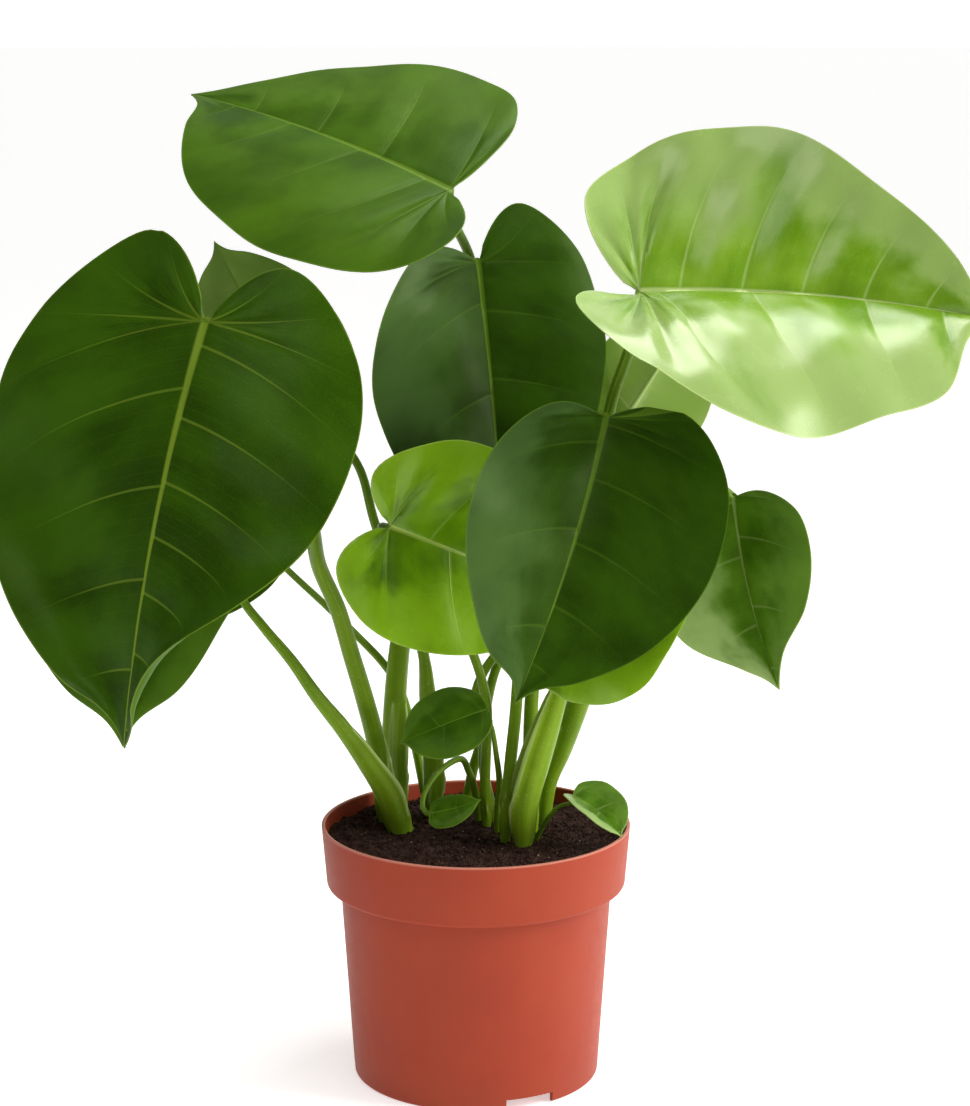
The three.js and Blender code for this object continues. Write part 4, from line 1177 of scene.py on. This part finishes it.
def pot_tree():
    """Cuts the foot's notches and the drain holes, each a ring of equal cutters, out of the pot."""
    inputs = {"First Angle": "Float", "Cut Height": "Float", "Material": "Material"}
    inputs |= {"Notch Count": "Int", "Notch Width": "Float", "Notch Place": "Vector"}
    inputs |= {"Drain Count": "Int", "Drain Radius": "Float", "Drain Place": "Vector"}
    tree, given = geometry_tree("Pot Openings", inputs)
    node = partial(add_node, tree)
    size = node("ShaderNodeCombineXYZ", (NOTCH_DEPTH * MM, given["Notch Width"], given["Cut Height"]))
    box = node("GeometryNodeMeshCube", {"Size": size})
    inputs = {"Vertices": 40, "Radius": given["Drain Radius"], "Depth": given["Cut Height"]}
    drill = node("GeometryNodeMeshCylinder", inputs)
    cut = node("GeometryNodeMeshBoolean", (given["Geometry"],), operation="DIFFERENCE", solver="EXACT")
    index = node("GeometryNodeInputIndex")
    for cutter, kind in ((box, "Notch"), (drill, "Drain")):
        moved = node("GeometryNodeTransform", {"Geometry": cutter, "Translation": given[kind + " Place"]})
        points = node("GeometryNodePoints", {"Count": given[kind + " Count"]})
        step = node("ShaderNodeMath", (2 * math.pi, given[kind + " Count"]), operation="DIVIDE")
        turn = node("ShaderNodeMath", (index, step, given["First Angle"]), operation="MULTIPLY_ADD")
        spin = node("ShaderNodeCombineXYZ", {"Z": turn})
        copies = node("GeometryNodeInstanceOnPoints", {"Points": points, "Instance": moved, "Rotation": spin})
        tree.links.new(node("GeometryNodeRealizeInstances", (copies,)), cut.node.inputs[1])
    close_tree(tree, cut, given["Material"])
    return tree


def soil_height(x, y):
    """Height of the soil as in the solid model, in mm."""
    broad = math.sin(x / 13 + 1.3) * math.cos(y / 11 - 0.4)
    fine = math.sin(x / 5.1 - y / 6.3) * math.cos(x / 7.7 + y / 4.9)
    return SOIL_LEVEL + SOIL_BUMP * (0.6 * broad + 0.4 * fine)


def soil_mesh():
    """The soil's body: a lumpy top of fine rings, with walls and a bottom inside the pot."""
    edge = inner_radius(SOIL_LEVEL) - 0.4
    shelf = COLLAR_BOTTOM + POT_WALL + 0.8
    points = [
        (0, FLOOR_TOP + 0.3),
        (inner_radius(FLOOR_TOP) - 1.3, FLOOR_TOP + 0.3),
        (inner_radius(COLLAR_BOTTOM) - 0.3, shelf),
        (inner_radius(shelf) - 0.9, shelf),
        (edge - 0.2, SOIL_LEVEL - 3),
    ]
    points += [(edge * i / SOIL_RINGS, SOIL_LEVEL) for i in range(SOIL_RINGS, -1, -1)]
    mesh = turned("peat_soil", points, SOIL_SIDES)
    for vertex in mesh.vertices:
        x, y, z = vertex.co / MM
        if z > SOIL_LEVEL - 0.01:
            spot = Vector((x, y, 0))
            lumps = sum(high * noise.noise(spot / wide) for high, wide in SOIL_LUMPS)
            # The soil is pressed smooth round each stem
            clear = min(math.dist((x, y), leaf.foot) - leaf.radius[0] for leaf in LEAVES)
            lumps *= min(max(clear / 7, 0.12), 1)
            vertex.co.z = (soil_height(x, y) + lumps) * MM
    mesh.update()
    return mesh


def scatter_tree():
    """Strews crumbs over the top of the soil, each turned and sized by a seeded draw."""
    inputs = {"Density": "Float", "Size": "Float", "Flatness": "Vector", "Seed": "Int"}
    tree, given = geometry_tree("Strewn Crumbs", inputs | {"Material": "Material"})
    node = partial(add_node, tree)
    up = node("ShaderNodeSeparateXYZ", (node("GeometryNodeInputNormal"),), "Z")
    top = node("FunctionNodeCompare", (up, 0.5), data_type="FLOAT", operation="GREATER_THAN")
    inputs = {"Mesh": given["Geometry"], "Selection": top, "Density": given["Density"], "Seed": given["Seed"]}
    points = node("GeometryNodeDistributePointsOnFaces", inputs)
    crumb = node("GeometryNodeMeshIcoSphere", {"Radius": 0.5, "Subdivisions": 1})
    inputs = {0: (0.0, 0.0, 0.0), 1: (2 * math.pi,) * 3, "Seed": given["Seed"]}
    turn = node("FunctionNodeRandomValue", inputs, data_type="FLOAT_VECTOR")
    size = node("FunctionNodeRandomValue", {2: 0.35, 3: 1.0, "Seed": given["Seed"]}, 1, data_type="FLOAT")
    size = node("ShaderNodeMath", (size, given["Size"]), operation="MULTIPLY")
    scale = node("ShaderNodeVectorMath", {0: given["Flatness"], "Scale": size}, operation="SCALE")
    inputs = {"Points": points, "Instance": crumb, "Rotation": turn, "Scale": scale}
    close_tree(tree, node("GeometryNodeInstanceOnPoints", inputs), given["Material"])
    return tree


class PLANT_OT_blades(bpy.types.Operator):
    """Makes every leaf blade and puts it in place of its solid"""

    bl_idname = "plant.blades"
    bl_label = "Leaf Blades"

    def execute(self, context):
        for i, leaf in enumerate(LEAVES):
            skin = SKINS[leaf.skin]
            mesh = blade_mesh(leaf, Blade(leaf, PHASE_STEP * i), skin)
            piece = add_piece("blade_" + leaf.name, mesh, leaf_skin(f"waxy leaf skin {leaf.name}", skin))
            slot = "leaf_young" if leaf.skin in ("young", "newest") else "leaf_green"
            finish_piece(piece, slot, "leaf_" + leaf.name)
        return {"FINISHED"}


class PLANT_OT_stems(bpy.types.Operator):
    """Makes every stem with its sheath and puts it in place of its solid"""

    bl_idname = "plant.stems"
    bl_label = "Stems"

    def execute(self, context):
        tree = stem_tree()
        values = {"Sides": sizes().stem_sides, "Sheath Edge": sizes().sheath_edge, "Material": stem_skin()}
        for i, leaf in enumerate(LEAVES):
            source = stem_source(leaf, Blade(leaf, PHASE_STEP * i))
            finish_piece(grow("petiole_" + leaf.name, source, tree, values), "stem", "stem_" + leaf.name)
        return {"FINISHED"}


class PLANT_OT_pot(bpy.types.Operator):
    """Makes the nursery pot with its notches and drain holes"""

    bl_idname = "plant.pot"
    bl_label = "Nursery Pot"

    def execute(self, context):
        values = {
            "Notch Count": NOTCH_COUNT,
            "Notch Width": NOTCH_WIDTH * MM,
            "Notch Place": (POT_FOOT_RADIUS * MM, 0.0, 0.0),
            "Drain Count": DRAIN_COUNT,
            "Drain Radius": DRAIN_RADIUS * MM,
            "Drain Place": (DRAIN_CIRCLE * MM, 0.0, FOOT_RAISE * MM),
            "First Angle": math.radians(NOTCH_ANGLE),
            "Cut Height": 2 * FOOT_RAISE * MM,
            "Material": pot_plastic(),
        }
        piece = grow("nursery_pot", pot_mesh(), pot_tree(), values)
        piece.data.shade_smooth()
        piece.data.set_sharp_from_angle(angle=math.radians(32))
        finish_piece(piece, "pot", "pot")
        return {"FINISHED"}


class PLANT_OT_soil(bpy.types.Operator):
    """Makes the potting soil and what is strewn on it"""

    bl_idname = "plant.soil"
    bl_label = "Potting Soil"

    def execute(self, context):
        color = (*colors().soil, 1.0)
        body = add_piece("peat_soil", soil_mesh(), soil_matter("damp peat", color, shade("46302a")))
        tree = scatter_tree()
        # Piece, shares of the density and size, flatness, and the colours with their paler bits
        strewn = (
            ("peat_crumbs", 1.0, 1.0, (1.0, 0.8, 0.6), color, shade("4e382e")),
            ("bark_fibres", 0.1, 2.0, (1.0, 0.14, 0.1), shade("4a3022"), shade("7a5a42")),
            ("pale_grit", 0.02, 0.4, (1.0, 0.8, 0.8), shade("b7a48c"), shade("8c7a66")),
        )
        for i, (name, many, size, flatness, dark, pale) in enumerate(strewn):
            values = {
                "Density": sizes().crumb_density * many,
                "Size": sizes().crumb_size * size,
                "Flatness": flatness,
                "Seed": sizes().seed + i,
                "Material": soil_matter(name.replace("_", " "), dark, pale),
            }
            finish_piece(grow(name, body.data.copy(), tree, values), "soil")
        finish_piece(body, "soil", "soil")
        return {"FINISHED"}


# Camera and lights, in metres and degrees
CAMERA_PLACE = (0.005, -1.5, 0.591)
CAMERA_PITCH = 11.24
CAMERA_LENS = 92.08
FLOOR_RADIUS = 30.0
FLOOR_GLOW = 0.5
LIGHTS = {
    "key softbox": dict(place=(1.5, -0.35, 1.0), aim=(0.0, 0.0, 0.25), size=(0.7, 1.0), power=23.0),
    "top softbox": dict(place=(0.3, 0.25, 1.7), aim=(0.1, 0.0, 0.4), size=(0.45, 0.9), power=11.0),
    "left softbox": dict(place=(-0.8, -0.9, 1.4), aim=(0.0, 0.0, 0.45), size=(0.8, 0.8), power=6.0),
}
SUN_TURN = (30.0, 0.0, 24.0)
SUN_POWER = 0.7
SUN_SOFTNESS = 50.0
# Strength of the surroundings from the front left to behind, and its share from low to overhead
AROUND = (-0.5, 0.6, 0.07, 1.1)
OVERHEAD = (0.3, 0.75, 1.0, 0.35)


def add_object(name, data):
    """An object of the studio."""
    item = bpy.data.objects.new(name, data)
    bpy.context.scene.collection.objects.link(item)
    return item


def soft_surroundings():
    """White to the camera, and else darker at the front left, which dark leaves would mirror as haze."""
    world = bpy.data.worlds.new("soft studio")
    world.use_nodes = True
    node = partial(add_node, world.node_tree)
    way = node("ShaderNodeTexCoord", out="Generated")
    x, y, z = node("ShaderNodeSeparateXYZ", (way,)).node.outputs
    behind = node("ShaderNodeMath", (x, 1.3, y), operation="MULTIPLY_ADD")
    around = node("ShaderNodeMapRange", (behind, *AROUND))
    above = node("ShaderNodeMapRange", (z, *OVERHEAD))
    strength = node("ShaderNodeMath", (around, above), operation="MULTIPLY")
    seen = node("ShaderNodeLightPath", out="Is Camera Ray")
    strength = node("ShaderNodeMath", (strength, seen), operation="MAXIMUM")
    background = world.node_tree.nodes["Background"].inputs
    background["Color"].default_value = shade("ffffff")
    world.node_tree.links.new(strength, background["Strength"])
    return world


class PLANT_OT_stage(bpy.types.Operator):
    """Makes the pale floor, the soft studio light and the camera"""

    bl_idname = "plant.stage"
    bl_label = "Studio"

    def execute(self, context):
        scene = context.scene
        floor = turned("studio_floor", [(FLOOR_RADIUS / MM, 0), (0, 0)], 96)
        add_piece("studio_floor", floor, floor_paint())
        scene.world = soft_surroundings()
        sun = bpy.data.lights.new("overhead light", "SUN")
        sun.energy = SUN_POWER
        sun.angle = math.radians(SUN_SOFTNESS)
        lamp = add_object("overhead light", sun)
        lamp.rotation_euler = [math.radians(turn) for turn in SUN_TURN]
        lamp.visible_glossy = False
        for name, spec in LIGHTS.items():
            light = bpy.data.lights.new(name, "AREA")
            light.shape = "RECTANGLE"
            light.size, light.size_y = spec["size"]
            light.energy = spec["power"]
            lamp = add_object(name, light)
            lamp.location = spec["place"]
            way = Vector(spec["aim"]) - Vector(spec["place"])
            lamp.rotation_euler = way.to_track_quat("-Z", "Y").to_euler()
        camera = add_object("camera", bpy.data.cameras.new("camera"))
        camera.location = CAMERA_PLACE
        camera.rotation_euler = (math.radians(90 - CAMERA_PITCH), 0, 0)
        camera.data.lens = CAMERA_LENS
        scene.camera = camera
        scene.view_settings.view_transform = "Standard"
        return {"FINISHED"}


class PLANT_PT_sidebar(bpy.types.Panel):
    """The plant's sizes, colours and operators"""

    bl_idname = "PLANT_PT_sidebar"
    bl_label = "Potted Plant"
    bl_space_type = "VIEW_3D"
    bl_region_type = "UI"
    bl_category = "Plant"

    def draw(self, context):
        for group in (context.scene.plant_sizes, context.scene.plant_colors):
            for name in group.bl_rna.properties.keys():
                if name not in ("rna_type", "name"):
                    self.layout.prop(group, name)
        for operator in OPERATORS:
            self.layout.operator(operator.bl_idname)


OPERATORS = (PLANT_OT_pot, PLANT_OT_soil, PLANT_OT_stems, PLANT_OT_blades, PLANT_OT_stage)
CLASSES = (PlantSizes, PlantColors, *OPERATORS, PLANT_PT_sidebar)


def register():
    for cls in CLASSES:
        bpy.utils.register_class(cls)
    bpy.types.Scene.plant_sizes = PointerProperty(type=PlantSizes)
    bpy.types.Scene.plant_colors = PointerProperty(type=PlantColors)


def unregister():
    del bpy.types.Scene.plant_colors
    del bpy.types.Scene.plant_sizes
    for cls in reversed(CLASSES):
        bpy.utils.unregister_class(cls)


def main():
    register()
    bpy.ops.plant.pot()
    bpy.ops.plant.soil()
    bpy.ops.plant.stems()
    bpy.ops.plant.blades()
    bpy.ops.plant.stage()


if __name__ == "__main__":
    main()
